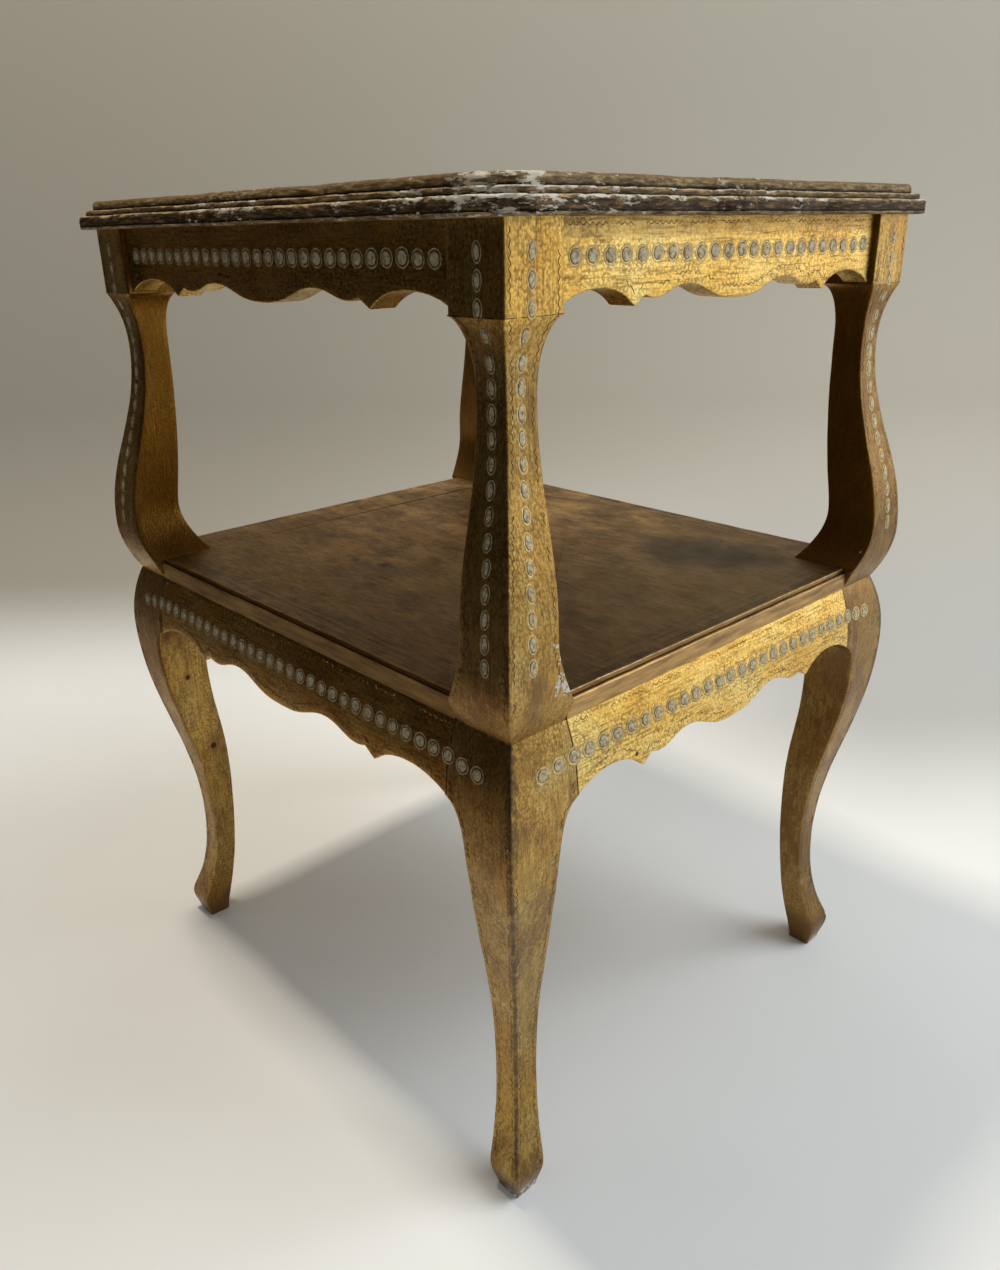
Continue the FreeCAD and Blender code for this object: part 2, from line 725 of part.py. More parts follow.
def make_screws(label, apron_back, z):
    """Two screws up through each glue block."""
    along = size.screw_spacing / 2
    inset = apron_back + size.glue_block_side / 2
    places = {
        "x": (along, size.frame_depth / 2 - inset),
        "y": (size.frame_width / 2 - inset, along),
    }
    screws = []
    for name, (x, y) in places.items():
        body = doc.addObject("PartDesign::Body", f"{label}_{name}")
        sketch = add_sketch(body, f"{label}_{name}_outline", "XZ_Plane")
        draw(sketch, screw_outline(ZERO))
        spin(body, "Revolution", sketch)
        place(body, x, y, z - size.glue_block_side)
        screws.append(body)
    return group(label, screws)


# Assembly

def make_nodes():
    nodes = make_legs()
    for side in SIDES:
        nodes.append(make_upper_apron(side))
        nodes.append(make_lower_apron(side))
        nodes.append(make_glue_block("upper", side, UPPER_APRON_BACK, TOP_BOTTOM))
        nodes.append(make_glue_block("lower", side, size.lower_apron_back, JOINT))
    nodes += [
        make_top(),
        make_shelf(),
        make_apron_dowels("upper", UPPER_DOWEL_INSET, TOP_BOTTOM),
        make_apron_dowels("lower", LOWER_DOWEL_INSET, JOINT),
        make_post_dowels(),
        make_screws("top_fixing_screws", UPPER_APRON_BACK, TOP_BOTTOM),
        make_screws("shelf_fixing_screws", size.lower_apron_back, JOINT),
    ]
    return nodes


def check(nodes):
    """Stop before anything is written if an object failed or a shape is unsound."""
    failed = [item.Label for item in doc.Objects if {"Invalid", "Error"} & set(item.State)]
    unsound = [node.Label for node in nodes if node.Shape.isNull() or not node.Shape.isValid()]
    if failed or unsound:
        raise RuntimeError(f"failed objects {failed}, unsound shapes {unsound}")


nodes = make_nodes()
doc.recompute()
check(nodes)
os.makedirs("parts", exist_ok=True)
for node in nodes:
    node.Shape.exportStep(f"parts/{node.Label}.step")
    print(f"{node.Label}: {len(node.Shape.Solids)} solids, {node.Shape.Volume / 1000:.1f} cm3")
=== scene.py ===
"""Looks of the two-tier gilt side table: worn gilding, beads, punched lines, paper sweep and light."""
import math

import bpy
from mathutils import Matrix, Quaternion, Vector, noise
from mathutils.bvhtree import BVHTree

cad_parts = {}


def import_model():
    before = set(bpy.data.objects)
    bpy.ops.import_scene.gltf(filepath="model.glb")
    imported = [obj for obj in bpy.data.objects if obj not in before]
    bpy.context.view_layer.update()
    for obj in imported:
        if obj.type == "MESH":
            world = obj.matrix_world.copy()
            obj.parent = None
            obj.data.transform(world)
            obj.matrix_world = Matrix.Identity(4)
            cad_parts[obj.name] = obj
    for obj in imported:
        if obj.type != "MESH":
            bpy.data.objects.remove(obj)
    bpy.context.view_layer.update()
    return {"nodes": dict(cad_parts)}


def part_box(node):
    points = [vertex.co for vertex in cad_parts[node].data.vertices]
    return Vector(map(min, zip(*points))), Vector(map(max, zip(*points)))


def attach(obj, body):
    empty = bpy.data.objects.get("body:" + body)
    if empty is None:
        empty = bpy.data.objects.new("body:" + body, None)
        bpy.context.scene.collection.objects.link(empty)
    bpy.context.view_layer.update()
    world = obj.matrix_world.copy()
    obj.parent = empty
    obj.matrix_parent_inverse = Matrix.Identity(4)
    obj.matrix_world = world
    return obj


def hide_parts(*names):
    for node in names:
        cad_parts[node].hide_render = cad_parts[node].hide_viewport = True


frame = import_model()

# Without a seed, noise vectors differ from run to run
NOISE_SEED = 7
noise.seed_set(NOISE_SEED)

# Sizes are in metres and angles in degrees. Wear, tone and age are shares that the materials read.
# Finding the surfaces of the frame
RAY_PLAY = 0.0005
END_PLAY = 0.0000004
BLOCK_PROBE = 0.03
NOTCH_PROBE = 0.01
PROBE_INSETS = {"lower": 0.013, "upper": 0.019}

# Hand-made surfaces
WOBBLE_HEIGHT = 0.00022
WOBBLE_SIZE = 0.02
SMOOTH_ANGLE = 38
SPOT_REACH = 1.5
ARRIS_TURNS = 3

# Legs
LEG_STEP = 0.003
LEG_FINEST_STEP = 0.0002
LEG_BEND = 0.0008
ARRIS_ROUND = 0.0012
ARRIS_WEAR = {"lower": (1.0, 0.5, 0.5, 0.5), "upper": (0.6, 0.45, 0.45, 0.45)}
ARRIS_FADE = 0.2
LEG_FACE_STEPS = 10
BLOCK_BOTTOM = 0.549
BLOCK_FADE = 0.006
TOE_DARK = 0.035
# Painted shade on the inner faces of the upper legs near the shelf: how far up it reaches, and how much of
# the painted amber gives way to it
FOOT_SHADE_REACH = 0.05
FOOT_INNER_SHADE_LOSS = 0.7
LEG_TONE = {"lower": 0.85, "upper": 0.75}
LEG_AGE = {"lower": 0.0, "upper": 0.15}
CORNER_AGE = {"front_left": 0.0, "front_right": 0.0, "back_right": 0.45, "back_left": 0.3}

# Aprons
APRON_STEP = 0.0016
APRON_ROWS = 12
APRON_ARRIS = 0.001
TOP_WEAR = 0.4
EDGE_WEAR = 0.5
EDGE_REACH = 0.004
BACK_WEAR = 0.6
# Painted shadow of the top's overhang on the upper aprons: how far down it reaches, and how dark
TOP_SHADOW_BAND = 0.011
TOP_SHADOW_TONE = 0.8

# Top and shelf
BOARD_STEP = 0.002
CHIP_DEPTH = 0.0011
CHIP_DROP = 0.4
CHIP_FINE_SHARE = 0.4
CHIP_SHARPNESS = 4
WEAR_CHIP = (0.012, 0.18)
SPOT_CHIP = (0.005, 0)
ROUND_STEPS = 5
FIELD_RINGS = (0.012, 0.03, 0.06)
NOSE_HEIGHT = 0.0086
NOSE_ROUND = 0.0026
NOSE_LIP = 0.0014
STEP_HEIGHT = 0.0034
FIELD_HEIGHT = 0.006
FIELD_ROUND = 0.0035
SHELF_BAND = 0.0115
SHELF_SETBACK = 0.0025
SMALL_ROUND = 0.0007

# Ornament
SEAT_STEP = 0.0005
HAND_SLIP = 0.0006
HAND_SIZE = 0.1
UNEVEN_STEPS = (37.1, 11.7, 4.3)
BEAD_PITCH = 0.0124
BEAD_RADII = (0.0040, 0.0037)
RING_GAP = 0.0013
BEAD_RELIEF = 0.00028
OVAL_PITCH = 0.0122
OVAL_RADII = (0.0021, 0.0040)
OVAL_RING_GAP = 0.0012
OVAL_LINE_SHARE = 0.45
FIRST_OVAL_DROP = 0.0145
LAST_OVAL_RISE = 0.042
BEAD_DROP = {"upper": 0.0178, "lower": 0.0198}
ROW_OVERRUN = {"upper": 0, "lower": 0.036}
ROW_FALL = {"upper": 0, "lower": 0.003}
ROW_FALL_LENGTH = 0.04
ROW_KEY = {"upper": 10, "lower": 20}
BEAD_END_GAP = 0.012
WAVE_PITCH = 0.0046
WAVE_HEIGHT = 0.0015
WAVE_STEP = 0.00058
LINE_WIDTH = 0.0007
LINE_RELIEF = 0.00022
LINE_BREAK = 0.009
LINE_SKIP = 0.12
LINE_PROBE = 0.008
LINE_END_GAP = 0.003
TOP_LINE_DROP = 0.0025
EDGE_LINE_RISE = 0.0055
LEG_LINE_INSET = 0.0028
LEG_LINE_RISE = {"upper": 0.02, "lower": 0.012}
LEG_LINE_DROP = {"upper": 0.004, "lower": 0.03}
SEAM_STEP = 0.0015
SEAM_TOP_GAP = 0.001
SEAM_WIDTH = 0.0008
SEAM_RELIEF = 0.00008
SEAM_SKIP = 0.35
# Cracks across the front right cabriole leg: place along its front face and height, from end to end
CRACKS = (((0.0255, 0.1895), (0.0015, 0.1815)), ((0.0250, 0.1850), (0.0100, 0.1795)))

# Worn spots: centre, radius and strength
TOP_SPOTS = (
    ((0.214, -0.192, 0.602), 0.026, 1.0),
    ((0.226, -0.165, 0.600), 0.016, 0.7),
    ((0.226, -0.128, 0.600), 0.024, 0.7),
    ((0.226, -0.078, 0.600), 0.010, 0.7),
    ((0.226, -0.020, 0.600), 0.024, 0.65),
    ((0.226, 0.025, 0.596), 0.006, 0.9),
    ((0.226, 0.061, 0.599), 0.006, 0.9),
    ((-0.010, -0.200, 0.597), 0.036, 0.6),
    ((0.109, -0.200, 0.598), 0.006, 0.9),
    ((0.154, -0.200, 0.600), 0.010, 0.8),
    ((0.168, -0.200, 0.597), 0.006, 0.9),
    ((-0.215, -0.192, 0.600), 0.012, 0.6),
    ((0.220, 0.192, 0.600), 0.014, 0.6),
)
LEG_SPOTS = (
    ((0.222, -0.157, 0.388), 0.010, 0.75),
    ((0.222, -0.162, 0.367), 0.008, 0.9),
    ((0.207, -0.179, 0.004), 0.009, 0.9),
    ((-0.207, -0.179, 0.002), 0.008, 0.7),
    ((0.207, 0.179, 0.002), 0.008, 0.7),
    ((-0.207, 0.179, 0.002), 0.008, 0.7),
)

CORNERS = {"front_left": (-1, -1), "front_right": (1, -1), "back_right": (1, 1), "back_left": (-1, 1)}
SIDES = ("front", "right", "back", "left")


# Finding the frame's surfaces

def solid(node):
    mesh = frame["nodes"][node].data
    return BVHTree.FromPolygons([v.co for v in mesh.vertices], [p.vertices for p in mesh.polygons])


def hit(tree, start, direction):
    return tree.ray_cast(Vector(start), Vector(direction))[0]


leg_low, leg_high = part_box("upper_leg_front_right")
block_tree = solid("upper_leg_front_right")
block_z = leg_high.z - LEG_STEP
HALF_X = hit(block_tree, (1, leg_low.y + BLOCK_PROBE, block_z), (-1, 0, 0)).x
HALF_Y = -hit(block_tree, (leg_high.x - BLOCK_PROBE, -1, block_z), (0, 1, 0)).y
JOINT = leg_low.z
TOP_BOTTOM = leg_high.z
TOP_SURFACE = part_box("top_panel")[1].z


def leg_outline(tier):
    """Heights up a leg with its outer and inner distance from the frame plane, closer where it bends."""
    node = f"{tier}_leg_front_right"
    tree = solid(node)
    low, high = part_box(node)
    y = -HALF_Y + PROBE_INSETS[tier]

    def section(z):
        outer = HALF_X - hit(tree, (1, y, z), (-1, 0, 0)).x
        inner = HALF_X - hit(tree, (0, y, z), (1, 0, 0)).x
        return z, outer, inner

    count = round((high.z - low.z) / LEG_STEP)
    span = high.z - low.z - 2 * END_PLAY
    levels = [section(low.z + END_PLAY + span * k / count) for k in range(count + 1)]
    index = 0
    while index < len(levels) - 1:
        (z0, outer0, inner0), (z1, outer1, inner1) = levels[index:index + 2]
        bend = max(abs(outer1 - outer0), abs(inner1 - inner0))
        if bend > LEG_BEND and z1 - z0 > LEG_FINEST_STEP:
            levels.insert(index + 1, section((z0 + z1) / 2))
        else:
            index += 1
    return levels


OUTLINES = {tier: leg_outline(tier) for tier in ("lower", "upper")}


def between(levels, z, column):
    """One column of an outline at a height, read between its two neighbours."""
    for below, above in zip(levels, levels[1:]):
        if z <= above[0]:
            share = (z - below[0]) / max(above[0] - below[0], END_PLAY)
            return below[column] + (above[column] - below[column]) * max(0, min(1, share))
    return levels[-1][column]


def side_place(side, along, depth, z):
    """A point from its place along a side, its depth inside the frame plane and its height."""
    return Vector({
        "front": (along, depth - HALF_Y, z),
        "right": (HALF_X - depth, along, z),
        "back": (-along, HALF_Y - depth, z),
        "left": (depth - HALF_X, -along, z),
    }[side])


# Meshes

def wobble(place):
    """The unevenness of hand-made wood."""
    return place + noise.noise_vector(place / WOBBLE_SIZE) * WOBBLE_HEIGHT


def worn(place, spots):
    """How far a place is worn down to the white ground by the worn spots near it."""
    depth = 0
    for centre, radius, strength in spots:
        reach = (place - Vector(centre)).length / radius
        if reach < SPOT_REACH:
            depth = max(depth, strength * min(1, (SPOT_REACH - reach) / (SPOT_REACH - 1)))
    return depth


def add_object(name, data):
    thing = bpy.data.objects.new(name, data)
    bpy.context.scene.collection.objects.link(thing)
    return thing


def finish_mesh(name, vertices, faces, layers, materials, indices=None):
    """A piece from points and faces, with its wear and tone as attributes."""
    mesh = bpy.data.meshes.new(name)
    mesh.from_pydata([wobble(place) for place in vertices], [], faces)
    for layer, values in layers.items():
        attribute = mesh.attributes.new(layer, "FLOAT", "POINT")
        attribute.data.foreach_set("value", values)
    for material in materials:
        mesh.materials.append(material)
    if indices:
        mesh.polygons.foreach_set("material_index", indices)
    mesh.validate()
    mesh.update()
    piece = add_object(name, mesh)
    mesh.polygons.foreach_set("use_smooth", [True] * len(mesh.polygons))
    mesh.set_sharp_from_angle(angle=math.radians(SMOOTH_ANGLE))
    return piece


def loft(name, rings, materials, flip=False, spots=()):
    """A closed mesh through rings of points: place, wear, tone and, on legs, a share of painted reflection
    and shade on the inner faces. Both ends are capped.
    """
    count = len(rings[0])
    points = [point for ring in rings for point in ring]
    faces = [tuple(range(count))]
    for row in range(len(rings) - 1):
        for k in range(count):
            a = row * count + k
            b = row * count + (k + 1) % count
            faces.append((b, a, a + count, b + count))
    faces.append(tuple(reversed(range(len(points) - count, len(points)))))
    if flip:
        faces = [tuple(reversed(face)) for face in faces]
    layers = {
        "wear": [p[1] for p in points],
        "tone": [p[2] for p in points],
        "inner_shade": [p[3] if len(p) > 3 else 0 for p in points],
        "chips": [worn(p[0], spots) for p in points],
    }
    return finish_mesh(name, [p[0] for p in points], faces, layers, materials)


def settle(piece, slot, *nodes):
    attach(piece, "root")
    if nodes:
        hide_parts(*nodes)


def rounded_square(low, high, radius, worn_corners):
    """A square section with rounded arrises, as (u, v, wear) anticlockwise from the low corner."""
    near, far = low + radius, high - radius
    centres = [(near, near), (far, near), (far, far), (near, far)]
    arcs = []
    for index, (u, v) in enumerate(centres):
        arc = []
        for k in range(ARRIS_TURNS + 1):
            angle = math.radians(180 + 90 * (index + k / ARRIS_TURNS))
            arc.append((u + radius * math.cos(angle), v + radius * math.sin(angle), worn_corners[index]))
        arcs.append(arc)
    points = []
    for index, arc in enumerate(arcs):
        points += arc
        start, end = arc[-1], arcs[(index + 1) % 4][0]
        for k in range(1, LEG_FACE_STEPS):
            share = k / LEG_FACE_STEPS
            u = start[0] + (end[0] - start[0]) * share
            v = start[1] + (end[1] - start[1]) * share
            wear = max(start[2] * (1 - share / ARRIS_FADE), end[2] * (1 - (1 - share) / ARRIS_FADE), 0)
            points.append((u, v, wear))
    return points


def make_leg(tier, corner, material):
    side_x, side_y = CORNERS[corner]
    rings = []
    for z, outer, inner in OUTLINES[tier]:
        ring = []
        tone = max(0, min(1, (BLOCK_BOTTOM - z) / BLOCK_FADE)) * LEG_TONE[tier] + max(0, 1 - z / TOE_DARK)
        tone += LEG_AGE[tier] + CORNER_AGE[corner]
        # Inner faces of the upper legs: a share of painted reflection and shade in dark amber, and near the
        # shelf painted shade through a darker tone
        foot = max(0, 1 - abs(z - JOINT) / FOOT_SHADE_REACH)
        for u, v, wear in rounded_square(outer, inner, ARRIS_ROUND, ARRIS_WEAR[tier]):
            facing_in = tier == "upper" and max(u, v) > inner - ARRIS_ROUND / 2
            place = Vector((side_x * (HALF_X - u), side_y * (HALF_Y - v), z))
            inner_shade = 1 - FOOT_INNER_SHADE_LOSS * foot if facing_in else 0.0
            ring.append((place, wear, tone + foot if facing_in else tone, inner_shade))
        rings.append(ring)
    node = f"{tier}_leg_{corner}"
    piece = loft(f"gilt_{node}", rings, [material], side_x * side_y > 0, LEG_SPOTS)
    settle(piece, "gilt_legs", node)


def apron_half(side):
    low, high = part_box(f"upper_apron_{side}")
    return (high.x - low.x if side in ("front", "back") else high.y - low.y) / 2


def apron_bottom(tier, side, depth):
    """The height of an apron's scalloped edge, at a place along it."""
    tree = solid(f"{tier}_apron_{side}")

    def bottom(along):
        return hit(tree, side_place(side, along, depth, 0), (0, 0, 1)).z
    return bottom


upper_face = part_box("upper_apron_front")[0].y + HALF_Y
FACE_DEPTH = {"upper": lambda z: upper_face, "lower": lambda z: between(OUTLINES["lower"], z, 1)}
APRON_BACK = {tier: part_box(f"{tier}_apron_front")[1].y + HALF_Y for tier in ("upper", "lower")}
APRON_TOP = {"upper": TOP_BOTTOM, "lower": JOINT}


def make_apron(tier, side, material):
    top, back, face = APRON_TOP[tier], APRON_BACK[tier], FACE_DEPTH[tier]
    bottom = apron_bottom(tier, side, (face(top - RAY_PLAY) + back) / 2)
    half = apron_half(side)
    count = round(2 * half / APRON_STEP)
    rings = []
    for k in range(count + 1):
        along = -half + 2 * half * k / count
        low = bottom(max(-half + RAY_PLAY, min(half - RAY_PLAY, along)))
        section = [(back, top, 0), (face(top), top, TOP_WEAR)]
        for row in range(1, APRON_ROWS):
            z = top + (low + APRON_ARRIS - top) * row / APRON_ROWS
            section.append((face(z), z, EDGE_WEAR * max(0, 1 - (z - low) / EDGE_REACH)))
        edge = face(low + APRON_ARRIS)
        for turn in range(ARRIS_TURNS + 1):
            angle = math.radians(90 * turn / ARRIS_TURNS)
            section.append((
                edge + APRON_ARRIS * (1 - math.cos(angle)),
                low + APRON_ARRIS * (1 - math.sin(angle)),
                EDGE_WEAR,
            ))
        section += [
            ((edge + back) / 2, low, EDGE_WEAR),
            (back - APRON_ARRIS, low, BACK_WEAR),
            (back, low + APRON_ARRIS, BACK_WEAR),
        ]
        ring = []
        for depth, z, wear in section:
            # Upper aprons: painted shadow of the top's overhang, a darker band just under it
            top_shadow = max(0, min(1, (z - top + TOP_SHADOW_BAND) / (TOP_SHADOW_BAND / 4))) if tier == "upper" else 0
            ring.append((side_place(side, along, depth, z), wear, TOP_SHADOW_TONE * top_shadow))
        rings.append(ring)
    node = f"{tier}_apron_{side}"
    piece = loft(f"gilt_{node}", rings, [material], flip=True)
    settle(piece, "gilt_aprons", node)


# Top and shelf

def chip(place, size, threshold):
    """How deeply a spot is chipped, from 0 to 1."""
    coarse, fine = noise.noise(place / size), noise.noise(place / (size * CHIP_FINE_SHARE))
    value = coarse * (1 - CHIP_FINE_SHARE) + fine * CHIP_FINE_SHARE
    return max(0, min(1, (value - threshold) * CHIP_SHARPNESS))


def quarter_round(radius, start):
    """Inset and rise of the points of a quarter round, seen from its middle, from a starting angle on."""
    angles = [math.radians(start + 90 * k / ROUND_STEPS) for k in range(ROUND_STEPS + 1)]
    return [(radius * (math.cos(angle) - 1), radius * math.sin(angle)) for angle in angles]


def top_profile(nose, step, field):
    """Ring places from the underside to the upper surface: outline, inset, height, wear and tone.

    Wear below nought darkens the corner of a step: painted shade there.
    """
    z = TOP_BOTTOM
    points = [(nose, inset, z + NOSE_LIP + rise, 0.2, 0.9) for inset, rise in quarter_round(NOSE_LIP, -90)]
    points.append((nose, -NOSE_LIP / 3, z + 1.2 * NOSE_LIP, -1, 0))
    points.append((nose, 0, z + 2 * NOSE_LIP, -0.3, 0))
    points.append((nose, 0, z + NOSE_HEIGHT / 2, 0, 0))
    crown = z + NOSE_HEIGHT
    for k, (inset, rise) in enumerate(quarter_round(NOSE_ROUND, 0)):
        points.append((nose, inset, crown - NOSE_ROUND + rise, min(1, 0.1 + 0.3 * k), 0.1 * k))
    points.append((step, SMALL_ROUND, crown - SMALL_ROUND / 4, -0.4, 0.3))
    points.append((step, 0, crown, -1, 0.2))
    fillet = crown + STEP_HEIGHT
    points.append((step, 0, fillet - 3 * SMALL_ROUND, 0, 0.6))
    points.append((step, 0, fillet - SMALL_ROUND, 0.7, 0.9))
    points.append((step, -SMALL_ROUND, fillet, 1, 1))
    points.append((field, SMALL_ROUND, fillet - SMALL_ROUND / 4, -0.4, 0.4))
    points.append((field, 0, fillet, -1, 0.3))
    surface = fillet + FIELD_HEIGHT
    for k, (inset, rise) in enumerate(quarter_round(FIELD_ROUND, 0)):
        points.append((field, inset, surface - FIELD_ROUND + rise, 0.15 * k, 1))
    for inset in FIELD_RINGS:
        points.append((field, -inset, surface, 0, 1))
    return points


def make_top(material):
    tree = solid("top_panel")
    heights = {
        "nose": TOP_BOTTOM + NOSE_HEIGHT / 2,
        "step": TOP_BOTTOM + NOSE_HEIGHT + STEP_HEIGHT / 2,
        "field": TOP_BOTTOM + NOSE_HEIGHT + STEP_HEIGHT + FIELD_HEIGHT / 4,
    }
    perimeter = 4 * (HALF_X + HALF_Y)
    count = round(perimeter / BOARD_STEP)
    directions = []
    for k in range(count):
        share = 4 * k / count
        quarter, part = int(share), share % 1
        along = math.tan(math.radians(-45 + 90 * part)) * (HALF_X, HALF_Y)[quarter % 2]
        directions.append(side_place(SIDES[quarter], along, 0, 0).normalized())
    outlines = {}
    for tier, z in heights.items():
        outlines[tier] = []
        for direction in directions:
            edge = hit(tree, direction + Vector((0, 0, z)), -direction)
            outlines[tier].append(edge.to_2d().length)
    rings = []
    for outline, inset, z, wear, tone in top_profile(outlines["nose"], outlines["step"], outlines["field"]):
        ring = []
        for direction, reach in zip(directions, outline):
            place = direction * (reach + inset) + Vector((0, 0, z))
            chipped = chip(place, *WEAR_CHIP) * max(0, wear)
            chipped += chip(place, *SPOT_CHIP) * worn(place, TOP_SPOTS)
            inwards = direction + Vector((0, 0, CHIP_DROP))
            ring.append((place - inwards * (CHIP_DEPTH * chipped), wear, tone))
        rings.append(ring)
    piece = loft("gilt_top_panel", rings, [material], spots=TOP_SPOTS)
    settle(piece, "worn_top", "top_panel")


def make_shelf(material):
    """The board as rings of its notched outline; negative wear darkens the corner of the step as painted
    shade.
    """
    tree = solid("shelf_board")
    low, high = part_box("shelf_board")
    middle = low.z + SHELF_BAND / 2
    notch_y = hit(tree, (HALF_X - NOTCH_PROBE, HALF_Y, middle), (0, -1, 0)).y
    notch_x = hit(tree, (HALF_X, HALF_Y - NOTCH_PROBE, middle), (-1, 0, 0)).x
    quarter = [(high.x, notch_y), (notch_x, notch_y), (notch_x, high.y)]
    back = quarter + [(-x, y) for x, y in reversed(quarter)]
    corners = [Vector((x, y, 0)) for x, y in back + [(-x, -y) for x, y in back]]
    outline = []
    for start, end in zip(corners, corners[1:] + corners[:1]):
        steps = max(2, round((end - start).length / BOARD_STEP))
        outline += [start.lerp(end, k / steps) for k in range(steps)]

    def moved_in(value, notch, inset):
        """A coordinate of the outer edge moved in; the notches stay where the legs stand."""
        return value - math.copysign(inset, value) if abs(value) > notch + RAY_PLAY else value

    # Inset, height, wear and tone of each ring
    step = low.z + SHELF_BAND
    profile = (
        (4 * SMALL_ROUND, low.z, 0, 0),
        (SMALL_ROUND, low.z, 0.5, 0),
        (0, low.z + SMALL_ROUND, 0.5, 0),
        (0, middle, 0, 0),
        (0, step - SMALL_ROUND, 0.8, 0),
        (SMALL_ROUND, step, 0.9, 0),
        (SHELF_SETBACK - SMALL_ROUND, step, 0, 0.3),
        (SHELF_SETBACK, step, -1, 0.5),
        (SHELF_SETBACK, step + SMALL_ROUND, -0.5, 0.5),
        (SHELF_SETBACK, high.z - 2 * SMALL_ROUND, 0, 0.5),
        (SHELF_SETBACK, high.z - SMALL_ROUND, 0.8, 0.5),
        (SHELF_SETBACK + SMALL_ROUND / 2, high.z - SMALL_ROUND / 3, 1, 0.5),
        (SHELF_SETBACK + SMALL_ROUND, high.z, 0.8, 1),
        (SHELF_SETBACK + 2 * SMALL_ROUND, high.z, 0, 1),
        (SHELF_SETBACK + 4 * SMALL_ROUND, high.z, 0, 1),
    )
    rings = []
    for inset, z, wear, tone in profile:
        ring = []
        for point in outline:
            place = Vector((moved_in(point.x, notch_x, inset), moved_in(point.y, notch_y, inset), z))
            ring.append((place, wear, tone))
        rings.append(ring)
    piece = loft("gilt_shelf_board", rings, [material])
    settle(piece, "worn_shelf", "shelf_board")


# Ornament

class Face:
    """An outer face of the table: where a point of it lies, and how a bead or line sits there."""

    def __init__(self, world, depth):
        self.world = world
        self.depth = depth

    def point(self, along, z, proud=0):
        return self.world(along, self.depth(z) - proud, z)

    def seat(self, along, z):
        """The point with the directions along the face, up the face and out of it."""
        origin = self.point(along, z)
        sideways = (self.point(along + SEAT_STEP, z) - self.point(along - SEAT_STEP, z)).normalized()
        upright = (self.point(along, z + SEAT_STEP) - self.point(along, z - SEAT_STEP)).normalized()
        out = sideways.cross(upright).normalized()
        if out.dot(self.point(along, z, SEAT_STEP) - origin) < 0:
            out = -out
        return origin, sideways, upright, out

    def line_seat(self, along, z):
        """The point with the direction out of the face."""
        origin, sideways, upright, out = self.seat(along, z)
        return origin, out


def apron_face(tier, side):
    return Face(lambda along, inset, z: side_place(side, along, inset, z), FACE_DEPTH[tier])


def leg_face(tier, corner, axis):
    side_x, side_y = CORNERS[corner]

    def world(along, inset, z):
        u, v = (along, inset) if axis == "x" else (inset, along)
        return Vector((side_x * (HALF_X - u), side_y * (HALF_Y - v), z))
    return Face(world, lambda z: between(OUTLINES[tier], z, 1))


class Beads:
    """Flat silvered discs, each in a punched ring, gathered into one piece."""
    SEGMENTS = 20
    SILVER, GOLD, DARK = 0, 1, 2
    # Share of the disc's radius, and of the ring's gap past 1; share of the relief; finish up to there
    PROFILE = (
        (0.5, 1.0, SILVER),
        (0.88, 0.9, SILVER),
        (1.0, 0.1, DARK),
        (1.2, 0.1, GOLD),
        (1.45, 0.35, GOLD),
        (1.95, 0.35, SILVER),
        (2.15, 0.05, GOLD),
        (2.35, -0.3, DARK),
    )

    def __init__(self):
        self.vertices = []
        self.faces = []
        self.indices = []

    def add(self, seat, radii, ring_gap, relief):
        origin, sideways, upright, out = seat
        first = len(self.vertices)
        self.vertices.append(origin + out * relief)
        for share, height, finish in self.PROFILE:
            reach = [radius * min(share, 1) + ring_gap * max(0, share - 1) for radius in radii]
            for k in range(self.SEGMENTS):
                angle = 2 * math.pi * k / self.SEGMENTS
                flat = sideways * (reach[0] * math.cos(angle)) + upright * (reach[1] * math.sin(angle))
                self.vertices.append(origin + flat + out * (relief * height))
        handed = sideways.cross(upright).dot(out) > 0
        for k in range(self.SEGMENTS):
            after = (k + 1) % self.SEGMENTS
            self.put((first, first + 1 + k, first + 1 + after), handed, self.SILVER)
            for row in range(len(self.PROFILE) - 1):
                a = first + 1 + row * self.SEGMENTS
                b = a + self.SEGMENTS
                self.put((a + k, b + k, b + after, a + after), handed, self.PROFILE[row + 1][2])

    def put(self, face, handed, index):
        self.faces.append(face if handed else tuple(reversed(face)))
        self.indices.append(index)

    def make(self, name, materials):
        piece = finish_mesh(name, self.vertices, self.faces, {}, materials, self.indices)
        settle(piece, "silvered_beads")


class Lines:
    """Punched lines: low ridges along a path on a face, gathered into one piece."""

    def __init__(self):
        self.vertices = []
        self.faces = []

    def add(self, seats, width=LINE_WIDTH, relief=LINE_RELIEF, skip=LINE_SKIP):
        """A ridge through seats, each a point and the way out of the face, left out here and there."""
        first = len(self.vertices)
        for index, (place, out) in enumerate(seats):
            ahead = seats[min(index + 1, len(seats) - 1)][0]
            behind = seats[max(index - 1, 0)][0]
            across = (ahead - behind).cross(out).normalized() * (width / 2)
            foot = place - out * (relief / 2)
            self.vertices += [foot + across, place + out * relief, foot - across]
        for k in range(len(seats) - 1):
            if noise.noise(seats[k][0] / LINE_BREAK) > skip:
                continue
            a = first + 3 * k
            self.faces += [(a, a + 1, a + 4, a + 3), (a + 1, a + 2, a + 5, a + 4)]

    def seam(self, face, start, end):
        """A straight dark line on a face between two places along it and up it: a joint or a crack, and at
        the ends of the upper aprons also painted shadow of the step down from the leg block.
        """
        steps = max(2, round(math.dist(start, end) / SEAM_STEP))
        seats = []
        for k in range(steps + 1):
            along = start[0] + (end[0] - start[0]) * k / steps
            z = start[1] + (end[1] - start[1]) * k / steps
            seats.append(face.line_seat(along, z))
        self.add(seats, SEAM_WIDTH, SEAM_RELIEF, SEAM_SKIP)

    def make(self, name, material):
        piece = finish_mesh(name, self.vertices, self.faces, {}, [material])
        settle(piece, "gilt_legs")


